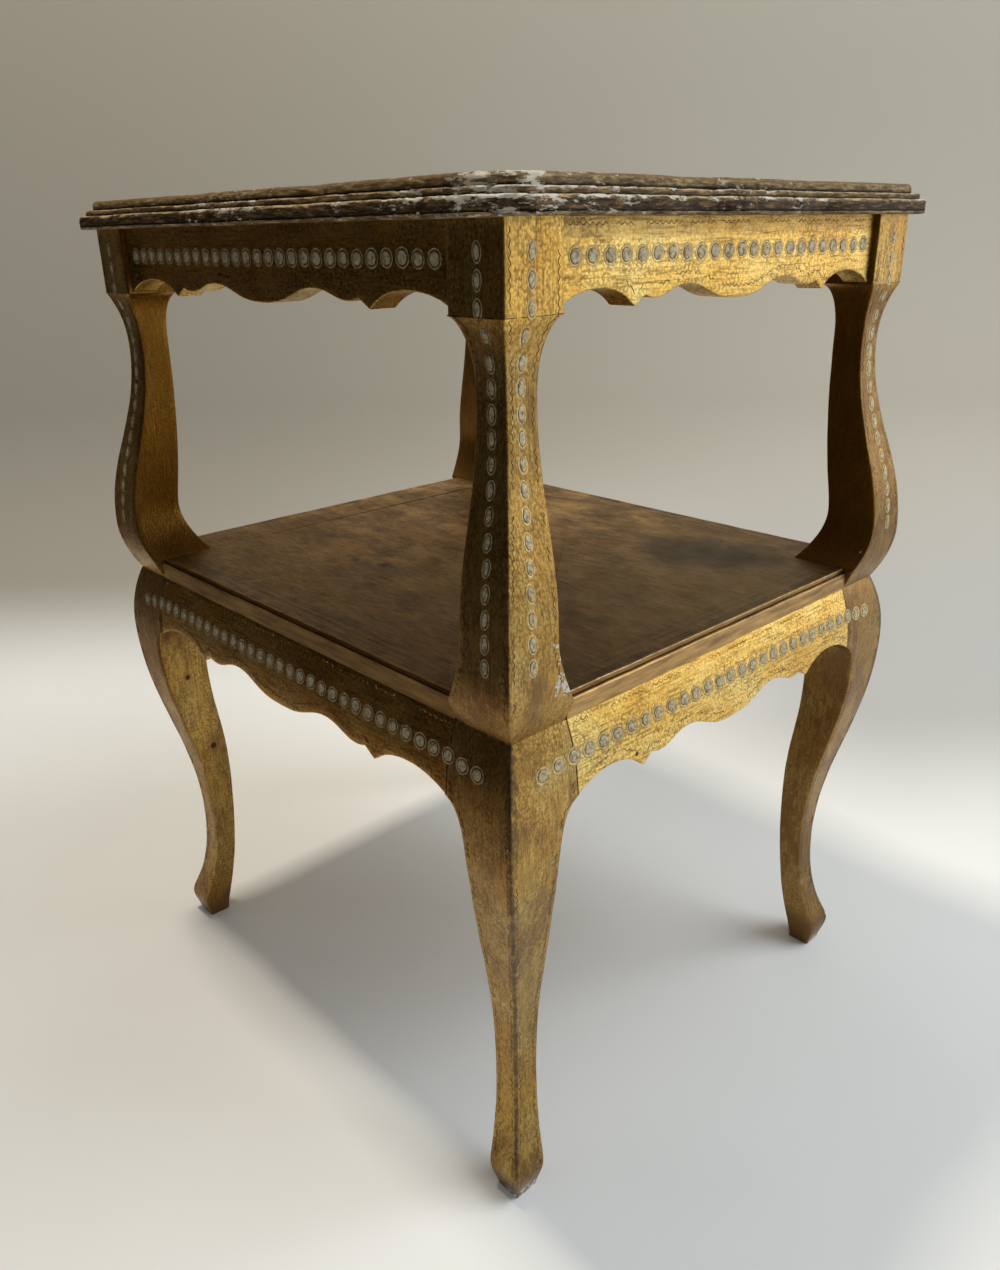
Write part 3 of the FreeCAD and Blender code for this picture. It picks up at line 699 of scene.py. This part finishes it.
def wave(run):
    """The chain of little arcs that a rocked punch leaves, as a height at a distance along the line."""
    return WAVE_HEIGHT * abs(math.sin(math.pi * run / WAVE_PITCH))


def uneven(value, key):
    """A small steady irregularity of hand work, between -1 and 1."""
    value_step, key_step, start = UNEVEN_STEPS
    return noise.noise(Vector((value * value_step, key * key_step, start)))


def bead_row(beads, face, half, z, key, fall):
    count = round(2 * (half - BEAD_END_GAP) / BEAD_PITCH)
    for k in range(count + 1):
        along = (k - count / 2) * BEAD_PITCH + uneven(k, key) * HAND_SLIP
        size = 1 + HAND_SIZE * uneven(k, key + 5)
        fallen = fall * max(0, (abs(along) - half + ROW_FALL_LENGTH) / ROW_FALL_LENGTH)
        seat = face.seat(along, z + uneven(k, key + 9) * HAND_SLIP - fallen)
        beads.add(seat, tuple(radius * size for radius in BEAD_RADII), RING_GAP, BEAD_RELIEF)


def make_apron_ornament(tier, side, silver, gold, dark):
    face = apron_face(tier, side)
    half = apron_half(side)
    top = APRON_TOP[tier]
    key = SIDES.index(side) + ROW_KEY[tier]
    beads = Beads()
    bead_row(beads, face, half + ROW_OVERRUN[tier], top - BEAD_DROP[tier], key, ROW_FALL[tier])
    beads.make(f"beads_{tier}_apron_{side}", [silver, gold, dark])
    lines = Lines()
    bottom = apron_bottom(tier, side, LINE_PROBE)
    reach = half - LINE_END_GAP
    count = round(2 * reach / WAVE_STEP)
    runs = [-reach + 2 * reach * k / count for k in range(count + 1)]
    lines.add([face.line_seat(run, top - TOP_LINE_DROP - wave(run)) for run in runs])
    lines.add([face.line_seat(run, bottom(run) + EDGE_LINE_RISE + wave(run)) for run in runs])
    # Dark lines at both ends of each apron: joints, and on the upper aprons also painted shadow of the step
    # down from the leg block
    seam_half = half if tier == "lower" else half - SEAM_WIDTH
    for end in (-seam_half, seam_half):
        low_end = (end, bottom(math.copysign(half - RAY_PLAY, end)))
        lines.seam(face, (end, top - SEAM_TOP_GAP), low_end)
    lines.make(f"punched_lines_{tier}_apron_{side}", dark)


def make_leg_ornament(corner, silver, gold, dark):
    beads = Beads()
    lines = Lines()
    for axis in "xy":
        for tier in ("upper", "lower"):
            face = leg_face(tier, corner, axis)
            levels = OUTLINES[tier]
            start = levels[0][0] + LEG_LINE_RISE[tier]
            end = levels[-1][0] - LEG_LINE_DROP[tier]
            count = round((end - start) / WAVE_STEP)
            heights = [start + (end - start) * k / count for k in range(count + 1)]
            for column, inwards in ((1, 1), (2, -1)):
                seats = []
                for z in heights:
                    along = between(levels, z, column) + inwards * (LEG_LINE_INSET + wave(z))
                    seats.append(face.line_seat(along, z))
                lines.add(seats)
        face = leg_face("upper", corner, axis)
        levels = OUTLINES["upper"]
        foot = BLOCK_BOTTOM + RAY_PLAY
        lines.seam(face, (RAY_PLAY, foot), (between(levels, foot, 2), foot))
        z = TOP_BOTTOM - FIRST_OVAL_DROP
        index = 0
        while z > JOINT + LAST_OVAL_RISE:
            outer, inner = between(levels, z, 1), between(levels, z, 2)
            along = outer + (inner - outer) * OVAL_LINE_SHARE + uneven(index, 3) * HAND_SLIP
            size = 1 + HAND_SIZE * uneven(index, 7)
            radii = tuple(radius * size for radius in OVAL_RADII)
            beads.add(face.seat(along, z), radii, OVAL_RING_GAP, BEAD_RELIEF)
            z -= OVAL_PITCH + uneven(index, 12) * HAND_SLIP
            index += 1
    if corner == "front_right":
        for start, end in CRACKS:
            lines.seam(leg_face("lower", corner, "x"), start, end)
    beads.make(f"beads_leg_{corner}", [silver, gold, dark])
    lines.make(f"punched_lines_leg_{corner}", dark)


# Materials

class Graph:
    """A material's nodes. Noise scales are per metre; a ramp's stops hold a place and a colour or share."""

    def __init__(self, name):
        self.material = bpy.data.materials.new(name)
        self.material.use_nodes = True
        self.tree = self.material.node_tree
        self.tree.nodes.clear()
        self.place = self.add("ShaderNodeTexCoord").outputs["Object"]

    def add(self, kind, inputs=None, **settings):
        """A node with its settings, and its inputs by name or number: another node's output or a value."""
        node = self.tree.nodes.new(kind)
        for key, value in settings.items():
            setattr(node, key, value)
        for key, source in (inputs or {}).items():
            self.link(source, node.inputs[key])
        return node

    def link(self, source, target):
        if isinstance(source, bpy.types.NodeSocket):
            self.tree.links.new(source, target)
        else:
            target.default_value = source

    def noise(self, scale, detail=4, stretch=(1, 1, 1), rough=0.55):
        mapping = self.add("ShaderNodeMapping", {"Vector": self.place, "Scale": stretch})
        shape = {"Scale": scale, "Detail": detail, "Roughness": rough}
        node = self.add("ShaderNodeTexNoise", {"Vector": mapping.outputs["Vector"], **shape})
        return node.outputs["Fac"]

    def pebbles(self, scale):
        """Distance from the middle of small round grains, in the object's place."""
        return self.add("ShaderNodeTexVoronoi", {"Vector": self.place, "Scale": scale}).outputs["Distance"]

    def ramp(self, fac, *stops):
        node = self.add("ShaderNodeValToRGB", {"Fac": fac})
        elements = node.color_ramp.elements
        while len(elements) < len(stops):
            elements.new(0.5)
        for element, (position, colour) in zip(elements, stops):
            element.position = position
            element.color = (*colour, 1) if isinstance(colour, tuple) else (colour, colour, colour, 1)
        return node.outputs["Color"]

    def mix(self, fac, low, high):
        node = self.add("ShaderNodeMix", {"Factor": fac}, data_type="RGBA")
        for value, name in ((low, "A"), (high, "B")):
            socket = [s for s in node.inputs if s.name == name and s.type == "RGBA"][0]
            self.link((*value, 1) if isinstance(value, tuple) else value, socket)
        return [s for s in node.outputs if s.type == "RGBA"][0]

    def math(self, operation, a, b, clamp=False):
        node = self.add("ShaderNodeMath", {0: a, 1: b}, operation=operation, use_clamp=clamp)
        return node.outputs[0]

    def plus(self, a, b, clamp=False):
        return self.math("ADD", a, b, clamp)

    def minus(self, a, b, clamp=False):
        return self.math("SUBTRACT", a, b, clamp)

    def times(self, a, b):
        return self.math("MULTIPLY", a, b)

    def attribute(self, name):
        return self.add("ShaderNodeAttribute", attribute_name=name).outputs["Fac"]

    def fade(self, value, start, end):
        """1 where the value is at the start, falling softly to 0 at the end."""
        ends = {"From Min": start, "From Max": end, "To Min": 1, "To Max": 0}
        node = self.add("ShaderNodeMapRange", {"Value": value, **ends}, interpolation_type="SMOOTHSTEP")
        return node.outputs["Result"]

    def axis(self, name):
        return self.add("ShaderNodeSeparateXYZ", {0: self.place}).outputs[name]

    def along(self, direction):
        """How far a place lies along a direction."""
        node = self.add("ShaderNodeVectorMath", {0: self.place, 1: direction}, operation="DOT_PRODUCT")
        return node.outputs["Value"]

    def nearness(self, centre, radius):
        """1 at a centre, falling to 0 at a radius from it."""
        node = self.add("ShaderNodeVectorMath", {0: self.place, 1: centre}, operation="DISTANCE")
        return self.fade(node.outputs["Value"], 0, radius)

    def inset(self, half_x, half_y):
        """How far a place lies inside the nearest side of a centred rectangle."""
        sides = []
        for name, half in (("X", half_x), ("Y", half_y)):
            sides.append(self.minus(half, self.math("ABSOLUTE", self.axis(name), 0.0)))
        return self.math("MINIMUM", *sides)

    def lines(self, distance, scale):
        """Bands of uneven strength at steady distances."""
        shape = {"W": distance, "Scale": scale, "Detail": 2}
        return self.add("ShaderNodeTexNoise", shape, noise_dimensions="1D").outputs["Fac"]

    def bump(self, height, strength, distance):
        shape = {"Height": height, "Strength": strength, "Distance": distance}
        return self.add("ShaderNodeBump", shape).outputs["Normal"]

    def surface(self, **sockets):
        inputs = {key.replace("_", " "): value for key, value in sockets.items()}
        return self.output(self.add("ShaderNodeBsdfPrincipled", inputs))

    def output(self, shader):
        """The material, with a shader as its surface."""
        self.add("ShaderNodeOutputMaterial", {"Surface": shader.outputs[0]})
        return self.material


# Dark stains on the shelf: centre and radius
SHELF_STAINS = (
    ((0.110, 0.105, 0.353), 0.085),
    ((0.150, 0.125, 0.353), 0.050),
    ((-0.037, -0.079, 0.353), 0.011),
    ((-0.064, -0.087, 0.353), 0.008),
)
# Where the light and the shade on the shelf are full, and where they have faded out
LIGHT_Y = (0.1, -HALF_Y)
LIGHT_X = (-0.12, 0.28)
SHADE_X = (0.3, -0.1)
# How far the ruled lines along the edge of the shelf reach in, and where they start to fade
BORDER_WIDTH = 0.030
BORDER_FADES = 0.008
# The flat upper surface of the top, as depths below its highest point
FLAT_DEPTH = 0.0008
FLAT_ENDS = 0.002
# Old nail holes in the inner face of the front left leg and in the right lower apron: Y, height and radius
LEG_HOLES = ((-0.180, 0.244, 0.0035), (-0.168, 0.177, 0.0045))
APRON_HOLES = ((-0.097, 0.300, 0.0025),)
NAIL_HOLES = [((between(OUTLINES["lower"], z, 2) - HALF_X, y, z), radius) for y, z, radius in LEG_HOLES]
NAIL_HOLES += [((HALF_X - between(OUTLINES["lower"], z, 1), y, z), radius) for y, z, radius in APRON_HOLES]

# Scale of a pattern along each axis, drawn out along the one that the grain follows
GRAIN = {"x": (0.06, 1, 1), "y": (1, 0.06, 1), "z": (1, 1, 0.06)}
FLECK = {"x": (0.75, 1, 1), "y": (1, 0.75, 1), "z": (1, 1, 0.75)}
CLOUD = {"x": (0.5, 1, 1), "y": (1, 0.5, 1), "z": (1, 1, 0.45)}
# Share of a piece's tone that turns gold to patina, and to painted shade where the tone holds it (under the
# top on the upper aprons, at the inner feet of the upper legs); and how much patina lies in clouds
TONE_SHARE = 0.6
LEG_PATINA = 0.10
APRON_PATINA = 0.03


def gilt(name, grain, patina):
    """Gold leaf, rubbed through along the grain, with brown patina, specks of dirt and worn arrises; painted
    glints along the streaks, and painted shade and reflection where the tone or the inner faces carry it.
    """
    g = Graph(name)
    gold = g.ramp(
        g.noise(18, 6, rough=0.62),
        (0.33, (0.82, 0.46, 0.09)),
        (0.5, (0.95, 0.62, 0.15)),
        (0.68, (1.0, 0.76, 0.27)),
    )
    clouds = g.ramp(g.noise(40, 12, CLOUD[grain], 0.82), (0.58 - patina, 0.0), (0.76 - patina, 0.6))
    # Patina from clouds and tone; where the tone holds it, painted shade
    patina_and_shade = g.plus(clouds, g.times(g.attribute("tone"), TONE_SHARE), True)
    colour = g.mix(patina_and_shade, gold, (0.22, 0.122, 0.040))
    # Painted reflection and shade on the inner faces of the upper legs: dark amber
    inner_shade = g.times(g.attribute("inner_shade"), 0.85)
    colour = g.mix(inner_shade, colour, (0.31, 0.14, 0.004))
    streaks = g.noise(760, 6, GRAIN[grain], 0.68)
    rubbed = g.ramp(streaks, (0.50, 0.0), (0.66, 0.75))
    colour = g.mix(rubbed, colour, (0.20, 0.09, 0.022))
    # Painted highlight: pale gold glints along the streaks
    painted_glints = g.ramp(streaks, (0.30, 0.6), (0.43, 0.0))
    colour = g.mix(g.times(painted_glints, g.minus(1.0, patina_and_shade)), colour, (1.0, 0.86, 0.42))
    soiled = g.ramp(g.noise(50, 6, CLOUD[grain], 0.66), (0.40, 0.5), (0.58, 1.0))
    pebbles = g.times(g.pebbles(560), 0.35)
    specks = g.plus(g.times(g.noise(600, 5, FLECK[grain], 0.7), 0.65), pebbles)
    dirt = g.times(g.ramp(specks, (0.43, 0.0), (0.62, 0.72)), soiled)
    colour = g.mix(dirt, colour, (0.18, 0.088, 0.022))
    pits = g.times(g.ramp(g.noise(290, 8, FLECK[grain], 0.74), (0.61, 0.0), (0.69, 0.72)), soiled)
    colour = g.mix(pits, colour, (0.085, 0.044, 0.014))
    wear = g.attribute("wear")
    rub = g.plus(g.times(wear, 0.5), g.times(g.noise(210, 8, rough=0.7), 0.8))
    broken = g.ramp(rub, (0.72, 0.0), (0.92, 0.85))
    colour = g.mix(broken, colour, (0.085, 0.056, 0.034))
    # Old nail holes drawn flat: a dark disc each, painted shade of the hole's depth with the dirt in it
    for centre, radius in NAIL_HOLES:
        hole = g.ramp(g.nearness(centre, radius), (0.25, 0.0), (0.45, 0.9))
        colour = g.mix(hole, colour, (0.03, 0.015, 0.006))
    chips = g.plus(g.times(g.attribute("chips"), 0.26), g.times(wear, 0.07))
    gesso = g.ramp(g.plus(chips, g.noise(240, 7, rough=0.66)), (0.72, 0.0), (0.75, 1.0))
    colour = g.mix(gesso, colour, (0.56, 0.52, 0.45))
    rough = g.ramp(g.noise(60, 5), (0.3, 0.30), (0.7, 0.46))
    dull = g.math("MAXIMUM", g.times(g.math("MAXIMUM", pits, broken), 0.2), gesso)
    metal = g.minus(g.minus(0.98, g.times(patina_and_shade, 0.12)), dull, True)
    height = g.plus(g.times(streaks, 0.5), g.times(specks, -0.6))
    normal = g.bump(height, 0.6, 0.0008)
    return g.surface(Base_Color=colour, Metallic=metal, Roughness=rough, Normal=normal)


def worn_top():
    """Dark worn mouldings with tan rubbed lines and chips down to the white ground."""
    g = Graph("worn_top")
    tone = g.attribute("tone")
    wear = g.attribute("wear")
    streaks = g.noise(560, 8, (0.16, 0.16, 1), 0.74)
    dark = g.ramp(
        streaks,
        (0.38, (0.015, 0.007, 0.004)),
        (0.52, (0.062, 0.033, 0.014)),
        (0.68, (0.27, 0.165, 0.068)),
    )
    tan = g.ramp(
        streaks,
        (0.36, (0.05, 0.028, 0.011)),
        (0.5, (0.17, 0.105, 0.042)),
        (0.64, (0.46, 0.33, 0.155)),
    )
    colour = g.mix(tone, dark, tan)
    dashes = g.noise(520, 8, (0.2, 0.2, 1), 0.7)
    rubbed = g.ramp(g.plus(g.times(wear, 0.16), dashes), (0.60, 0.0), (0.70, 0.85))
    colour = g.mix(rubbed, colour, (0.45, 0.32, 0.16))
    crust = g.times(g.noise(190, 7, rough=0.65), 0.45)
    # Painted shade in the corners of the steps, where wear is below nought, with dark crust as grime
    # elsewhere
    corner_shade_and_grime = g.plus(g.times(wear, -0.7), crust)
    colour = g.mix(g.ramp(corner_shade_and_grime, (0.40, 0.0), (0.70, 0.95)), colour, (0.010, 0.006, 0.005))
    bared = g.times(g.math("MAXIMUM", wear, 0.0), 0.11)
    chips = g.plus(g.times(g.attribute("chips"), 0.17), bared)
    flakes = g.noise(360, 8, (0.3, 0.3, 1), 0.72)
    gesso = g.ramp(g.plus(chips, flakes), (0.69, 0.0), (0.73, 0.95))
    colour = g.mix(gesso, colour, (0.54, 0.48, 0.385))
    board = g.ramp(
        g.noise(330, 8, (0.25, 1, 1), 0.7),
        (0.30, (0.085, 0.048, 0.018)),
        (0.5, (0.17, 0.10, 0.037)),
        (0.70, (0.28, 0.175, 0.07)),
    )
    clouds = g.ramp(g.noise(26, 10, (0.6, 1, 1), 0.76), (0.46, 0.0), (0.68, 0.75))
    board = g.mix(clouds, board, (0.06, 0.034, 0.014))
    flat = g.fade(g.axis("Z"), TOP_SURFACE - FLAT_DEPTH, TOP_SURFACE - FLAT_ENDS)
    colour = g.mix(g.times(flat, g.minus(1.0, gesso)), colour, board)
    rough = g.ramp(g.noise(60, 5), (0.3, 0.42), (0.7, 0.6))
    height = g.plus(g.times(streaks, 0.6), g.times(gesso, -0.4))
    normal = g.bump(height, 0.8, 0.0009)
    return g.surface(
        Base_Color=colour,
        Metallic=0.1,
        Roughness=rough,
        Normal=normal,
        Specular_IOR_Level=0.12,
    )


def worn_shelf():
    """A brown-gold board, mottled and scratched along its length, with dark stains and a rubbed edge."""
    g = Graph("worn_shelf")
    wear = g.attribute("wear")
    tone = g.attribute("tone")
    streaks = g.noise(330, 8, (0.25, 1, 1), 0.7)
    board = g.ramp(
        streaks,
        (0.30, (0.15, 0.078, 0.022)),
        (0.5, (0.30, 0.165, 0.046)),
        (0.70, (0.48, 0.275, 0.085)),
    )
    light = g.ramp(g.noise(20, 9, (0.7, 1, 1), 0.76), (0.44, 0.0), (0.60, 0.75))
    light = g.times(light, g.fade(g.axis("Y"), *LIGHT_Y))
    light = g.times(light, g.fade(g.axis("X"), *LIGHT_X))
    board = g.mix(light, board, (0.95, 0.58, 0.22))
    clouds = g.ramp(g.noise(46, 9, (0.55, 1, 1), 0.76), (0.48, 0.0), (0.66, 0.85))
    board = g.mix(clouds, board, (0.13, 0.07, 0.025))
    board = g.mix(g.times(g.fade(g.axis("X"), *SHADE_X), 0.6), board, (0.12, 0.066, 0.022))
    scratches = g.ramp(g.noise(240, 8, (0.2, 1, 1), 0.76), (0.57, 0.0), (0.66, 0.85))
    board = g.mix(scratches, board, (0.075, 0.042, 0.017))
    specks = g.ramp(g.noise(300, 6, rough=0.7), (0.59, 0.0), (0.67, 0.8))
    board = g.mix(specks, board, (0.08, 0.045, 0.018))
    ragged = g.times(g.noise(34, 8, rough=0.65), 0.9)
    for centre, radius in SHELF_STAINS:
        near = g.plus(g.nearness(centre, radius), g.minus(ragged, 0.45))
        board = g.mix(g.ramp(near, (0.25, 0.0), (0.95, 0.8)), board, (0.05, 0.034, 0.02))
    inside = g.inset(HALF_X, HALF_Y)
    worn_away = g.ramp(g.noise(60, 6, rough=0.65), (0.42, 0.2), (0.58, 1.0))
    near_edge = g.times(g.fade(inside, BORDER_FADES, BORDER_WIDTH), worn_away)
    ruled = g.times(g.ramp(g.lines(inside, 420), (0.50, 0.0), (0.60, 0.85)), near_edge)
    board = g.mix(ruled, board, (0.05, 0.028, 0.013))
    edge = g.ramp(
        g.noise(300, 6, (0.1, 0.1, 1), 0.65),
        (0.34, (0.23, 0.125, 0.042)),
        (0.66, (0.57, 0.35, 0.125)),
    )
    colour = g.mix(tone, edge, board)
    crust = g.times(g.noise(190, 7, rough=0.65), 0.45)
    rub = g.plus(g.times(wear, 0.5), crust)
    colour = g.mix(g.ramp(rub, (0.67, 0.0), (0.78, 0.85)), colour, (0.46, 0.38, 0.27))
    # Painted shade in the corner of the step, where wear is below nought
    corner_shade_and_grime = g.plus(g.times(wear, -0.7), crust)
    colour = g.mix(g.ramp(corner_shade_and_grime, (0.45, 0.0), (0.75, 0.95)), colour, (0.03, 0.014, 0.008))
    rough = g.ramp(g.noise(50, 5), (0.3, 0.40), (0.7, 0.52))
    normal = g.bump(streaks, 0.25, 0.0004)
    metal = g.ramp(tone, (0.0, 0.7), (0.5, 0.9))
    return g.surface(Base_Color=colour, Metallic=metal, Roughness=rough, Normal=normal)


def silver_leaf():
    g = Graph("silver_leaf")
    colour = g.ramp(
        g.noise(520, 5),
        (0.32, (0.16, 0.115, 0.055)),
        (0.5, (0.44, 0.365, 0.225)),
        (0.7, (0.62, 0.54, 0.37)),
    )
    normal = g.bump(g.noise(1200, 3), 0.25, 0.0003)
    rough = g.ramp(g.noise(300, 3), (0.3, 0.42), (0.7, 0.6))
    return g.surface(Base_Color=colour, Metallic=0.5, Roughness=rough, Normal=normal)


def dark_punch():
    g = Graph("dark_punch")
    colour = g.ramp(g.noise(420, 4), (0.4, (0.06, 0.033, 0.011)), (0.62, (0.38, 0.23, 0.065)))
    rough = g.ramp(g.noise(300, 3), (0.3, 0.4), (0.7, 0.6))
    return g.surface(Base_Color=colour, Metallic=0.8, Roughness=rough)


def bare_wood():
    g = Graph("bare_wood")
    streaks = g.noise(240, 6, (0.08, 0.4, 1))
    colour = g.ramp(streaks, (0.35, (0.20, 0.12, 0.06)), (0.65, (0.42, 0.29, 0.16)))
    normal = g.bump(streaks, 0.4, 0.0006)
    rough = g.ramp(streaks, (0.3, 0.6), (0.7, 0.8))
    return g.surface(Base_Color=colour, Roughness=rough, Normal=normal)


def screw_steel():
    g = Graph("screw_steel")
    colour = g.ramp(g.noise(600, 4), (0.4, (0.16, 0.13, 0.1)), (0.6, (0.42, 0.41, 0.39)))
    rough = g.ramp(g.noise(400, 3), (0.3, 0.3), (0.7, 0.55))
    return g.surface(Base_Color=colour, Metallic=0.9, Roughness=rough)


# Stage, lights and camera

VIEW_AZIMUTH = 47.02
VIEW_PITCH = 22.16
VIEW_ROLL = -1.05
CAMERA_PLACE = (0.5463, -0.5041, 0.5856)
LENS_MM = 28.06
TURN = math.radians(VIEW_AZIMUTH)
AWAY = Vector((-math.sin(TURN), math.cos(TURN), 0))
ACROSS = Vector((math.cos(TURN), math.sin(TURN), 0))

# The sheet of paper: where it starts, where and how it bends up, how high and how wide it is
SWEEP_NEAR = -2.2
BEND_START = 0.40
BEND_RADIUS = 0.35
BEND_STEPS = 12
SWEEP_HEIGHT = 2.6
SWEEP_HALF_WIDTH = 3.5

# Colours of the paper, with painted shade on the floor behind the table and on the wall, darker higher up
# and to the left, and what polished surfaces mirror of it in front of the table
PAPER = ((0.77, 0.76, 0.735), (0.81, 0.80, 0.775))
PAPER_SHADE_BEHIND = (0.45, 0.44, 0.42)
WALL_SHADE_LOW = (0.54, 0.50, 0.425)
WALL_SHADE_HIGH = (0.45, 0.425, 0.36)
WALL_SHADE_LEFT = (0.34, 0.31, 0.26)
MIRRORED_BROWN = (0.30, 0.13, 0.025)
MIRRORED_DARK = (0.006, 0.003, 0.001)
BROWN_SHARE = 0.85

# Where these colours are full and where they have faded out, along the direction that the script names
BEHIND_AWAY = (0.42, 0.05)
BEHIND_ACROSS = (0.5, 0.0)
DIM_ACROSS = (-0.6, 0.7)
HIGH_Z = (0.8, 0.35)
WALL_Z = (0.3, 0.0)
DIM_Z = (0.12, 0.0)
BROWN_Y = (-0.48, -0.22)
DARK_Y = (-0.62, -0.40)

# Lamps: name, place, target, width and height, power in watts, colour
LAMPS = (
    ("window", (1.4, 1.2, 2.3), (0, 0, 0.3), (1.8, 1.8), 50, (0.86, 0.935, 1.0)),
    ("low_pane", (1.7, 2.1, 0.75), (0.2, 0, 0.55), (1.6, 1.0), 12, (0.97, 0.98, 1.0)),
    ("ceiling", (-0.37, -0.21, 2.3), (-0.37, -0.21, 0), (0.24, 0.24), 26, (1.0, 0.92, 0.78)),
)
# The room beyond the paper, as it lights, as polished surfaces mirror it and as the camera sees it
ROOM_LIGHT = ((0.90, 0.96, 1.0, 1), 0.3)
ROOM_MIRRORED = ((0.30, 0.20, 0.10, 1), 0.03)
ROOM_SEEN = ((0.42, 0.40, 0.35, 1), 1.0)


def paper():
    """Pale paper with painted shade: darker on the floor behind the table, and on the wall, more so higher
    up and to the left; clear from behind; mirrored, it is dark in front of the table.
    """
    g = Graph("paper")
    floor = g.ramp(g.noise(3, 3), (0.3, PAPER[0]), (0.7, PAPER[1]))
    across = g.along(ACROSS)
    # Painted shade on the floor behind the table, towards the left
    behind = g.times(g.fade(g.along(AWAY), *BEHIND_AWAY), g.fade(across, *BEHIND_ACROSS))
    floor = g.mix(behind, floor, PAPER_SHADE_BEHIND)
    # Painted shade on the wall: darker than the floor, more so higher up and to the left
    wall = g.mix(g.fade(g.axis("Z"), *HIGH_Z), WALL_SHADE_LOW, WALL_SHADE_HIGH)
    bright = g.mix(g.fade(g.axis("Z"), *WALL_Z), floor, wall)
    shade_left = g.mix(g.fade(g.axis("Z"), *DIM_Z), floor, WALL_SHADE_LEFT)
    colour = g.mix(g.fade(across, *DIM_ACROSS), bright, shade_left)
    glossy = g.add("ShaderNodeLightPath").outputs["Is Glossy Ray"]
    brown = g.times(g.fade(g.axis("Y"), *BROWN_Y), BROWN_SHARE)
    colour = g.mix(g.times(glossy, brown), colour, MIRRORED_BROWN)
    beyond = g.fade(g.axis("Y"), *DARK_Y)
    colour = g.mix(g.times(glossy, beyond), colour, MIRRORED_DARK)
    shader = g.add("ShaderNodeBsdfDiffuse", {"Color": colour})
    clear = g.add("ShaderNodeBsdfTransparent")
    from_behind = g.add("ShaderNodeNewGeometry").outputs["Backfacing"]
    return g.output(g.add("ShaderNodeMixShader", {
        0: from_behind,
        1: shader.outputs[0],
        2: clear.outputs[0],
    }))


def make_sweep():
    """A sheet of paper that lies on the floor and curves up behind the table."""
    section = [(SWEEP_NEAR, 0), (BEND_START, 0)]
    for k in range(1, BEND_STEPS + 1):
        angle = math.radians(90 * k / BEND_STEPS)
        section.append((BEND_START + BEND_RADIUS * math.sin(angle), BEND_RADIUS * (1 - math.cos(angle))))
    section.append((BEND_START + BEND_RADIUS, SWEEP_HEIGHT))
    vertices = []
    for out, z in section:
        for side in (-1, 1):
            vertices.append(AWAY * out + ACROSS * (side * SWEEP_HALF_WIDTH) + Vector((0, 0, z)))
    faces = [(2 * k, 2 * k + 1, 2 * k + 3, 2 * k + 2) for k in range(len(section) - 1)]
    mesh = bpy.data.meshes.new("paper_sweep")
    mesh.from_pydata(vertices, [], faces)
    mesh.materials.append(paper())
    mesh.polygons.foreach_set("use_smooth", [True] * len(faces))
    mesh.update()
    sweep = add_object("paper_sweep", mesh)


def add_area(name, place, target, size, power, colour):
    data = bpy.data.lights.new(name, "AREA")
    data.shape = "RECTANGLE"
    data.size, data.size_y = size
    data.energy = power
    data.color = colour
    lamp = add_object(name, data)
    lamp.location = place
    lamp.rotation_euler = (Vector(target) - Vector(place)).to_track_quat("-Z", "Y").to_euler()
    lamp.visible_camera = False


def make_light():
    for lamp in LAMPS:
        add_area(*lamp)
    world = bpy.data.worlds.new("room")
    world.use_nodes = True
    nodes, links = world.node_tree.nodes, world.node_tree.links
    room = nodes["Background"]
    room.inputs["Color"].default_value, room.inputs["Strength"].default_value = ROOM_LIGHT
    rays = nodes.new("ShaderNodeLightPath")
    shown = room.outputs[0]
    for ray, (colour, strength) in (("Is Glossy Ray", ROOM_MIRRORED), ("Is Camera Ray", ROOM_SEEN)):
        other = nodes.new("ShaderNodeBackground")
        other.inputs["Color"].default_value = colour
        other.inputs["Strength"].default_value = strength
        blend = nodes.new("ShaderNodeMixShader")
        links.new(rays.outputs[ray], blend.inputs[0])
        links.new(shown, blend.inputs[1])
        links.new(other.outputs[0], blend.inputs[2])
        shown = blend.outputs[0]
    links.new(shown, nodes["World Output"].inputs["Surface"])
    bpy.context.scene.world = world


def make_camera():
    data = bpy.data.cameras.new("camera")
    data.lens = LENS_MM
    camera = add_object("camera", data)
    pitch = math.radians(VIEW_PITCH)
    ahead = AWAY * math.cos(pitch) - Vector((0, 0, math.sin(pitch)))
    roll = Quaternion((0, 0, 1), math.radians(VIEW_ROLL))
    camera.rotation_euler = (ahead.to_track_quat("-Z", "Y") @ roll).to_euler()
    camera.location = CAMERA_PLACE
    bpy.context.scene.camera = camera


def dress():
    upright = gilt("gilt_upright", "z", LEG_PATINA)
    along_x = gilt("gilt_along_x", "x", APRON_PATINA)
    along_y = gilt("gilt_along_y", "y", APRON_PATINA)
    lengthwise = {"front": along_x, "right": along_y, "back": along_x, "left": along_y}
    silver = silver_leaf()
    dark = dark_punch()
    for corner in CORNERS:
        for tier in ("upper", "lower"):
            make_leg(tier, corner, upright)
        make_leg_ornament(corner, silver, upright, dark)
    for side in SIDES:
        for tier in ("upper", "lower"):
            make_apron(tier, side, lengthwise[side])
            make_apron_ornament(tier, side, silver, upright, dark)
    make_top(worn_top())
    make_shelf(worn_shelf())
    wood = bare_wood()
    steel = screw_steel()
    for name, node in frame["nodes"].items():
        node.data.materials.clear()
        node.data.materials.append(steel if "screws" in name else wood)


bpy.context.scene.view_settings.view_transform = "Standard"
dress()
make_sweep()
make_light()
make_camera()
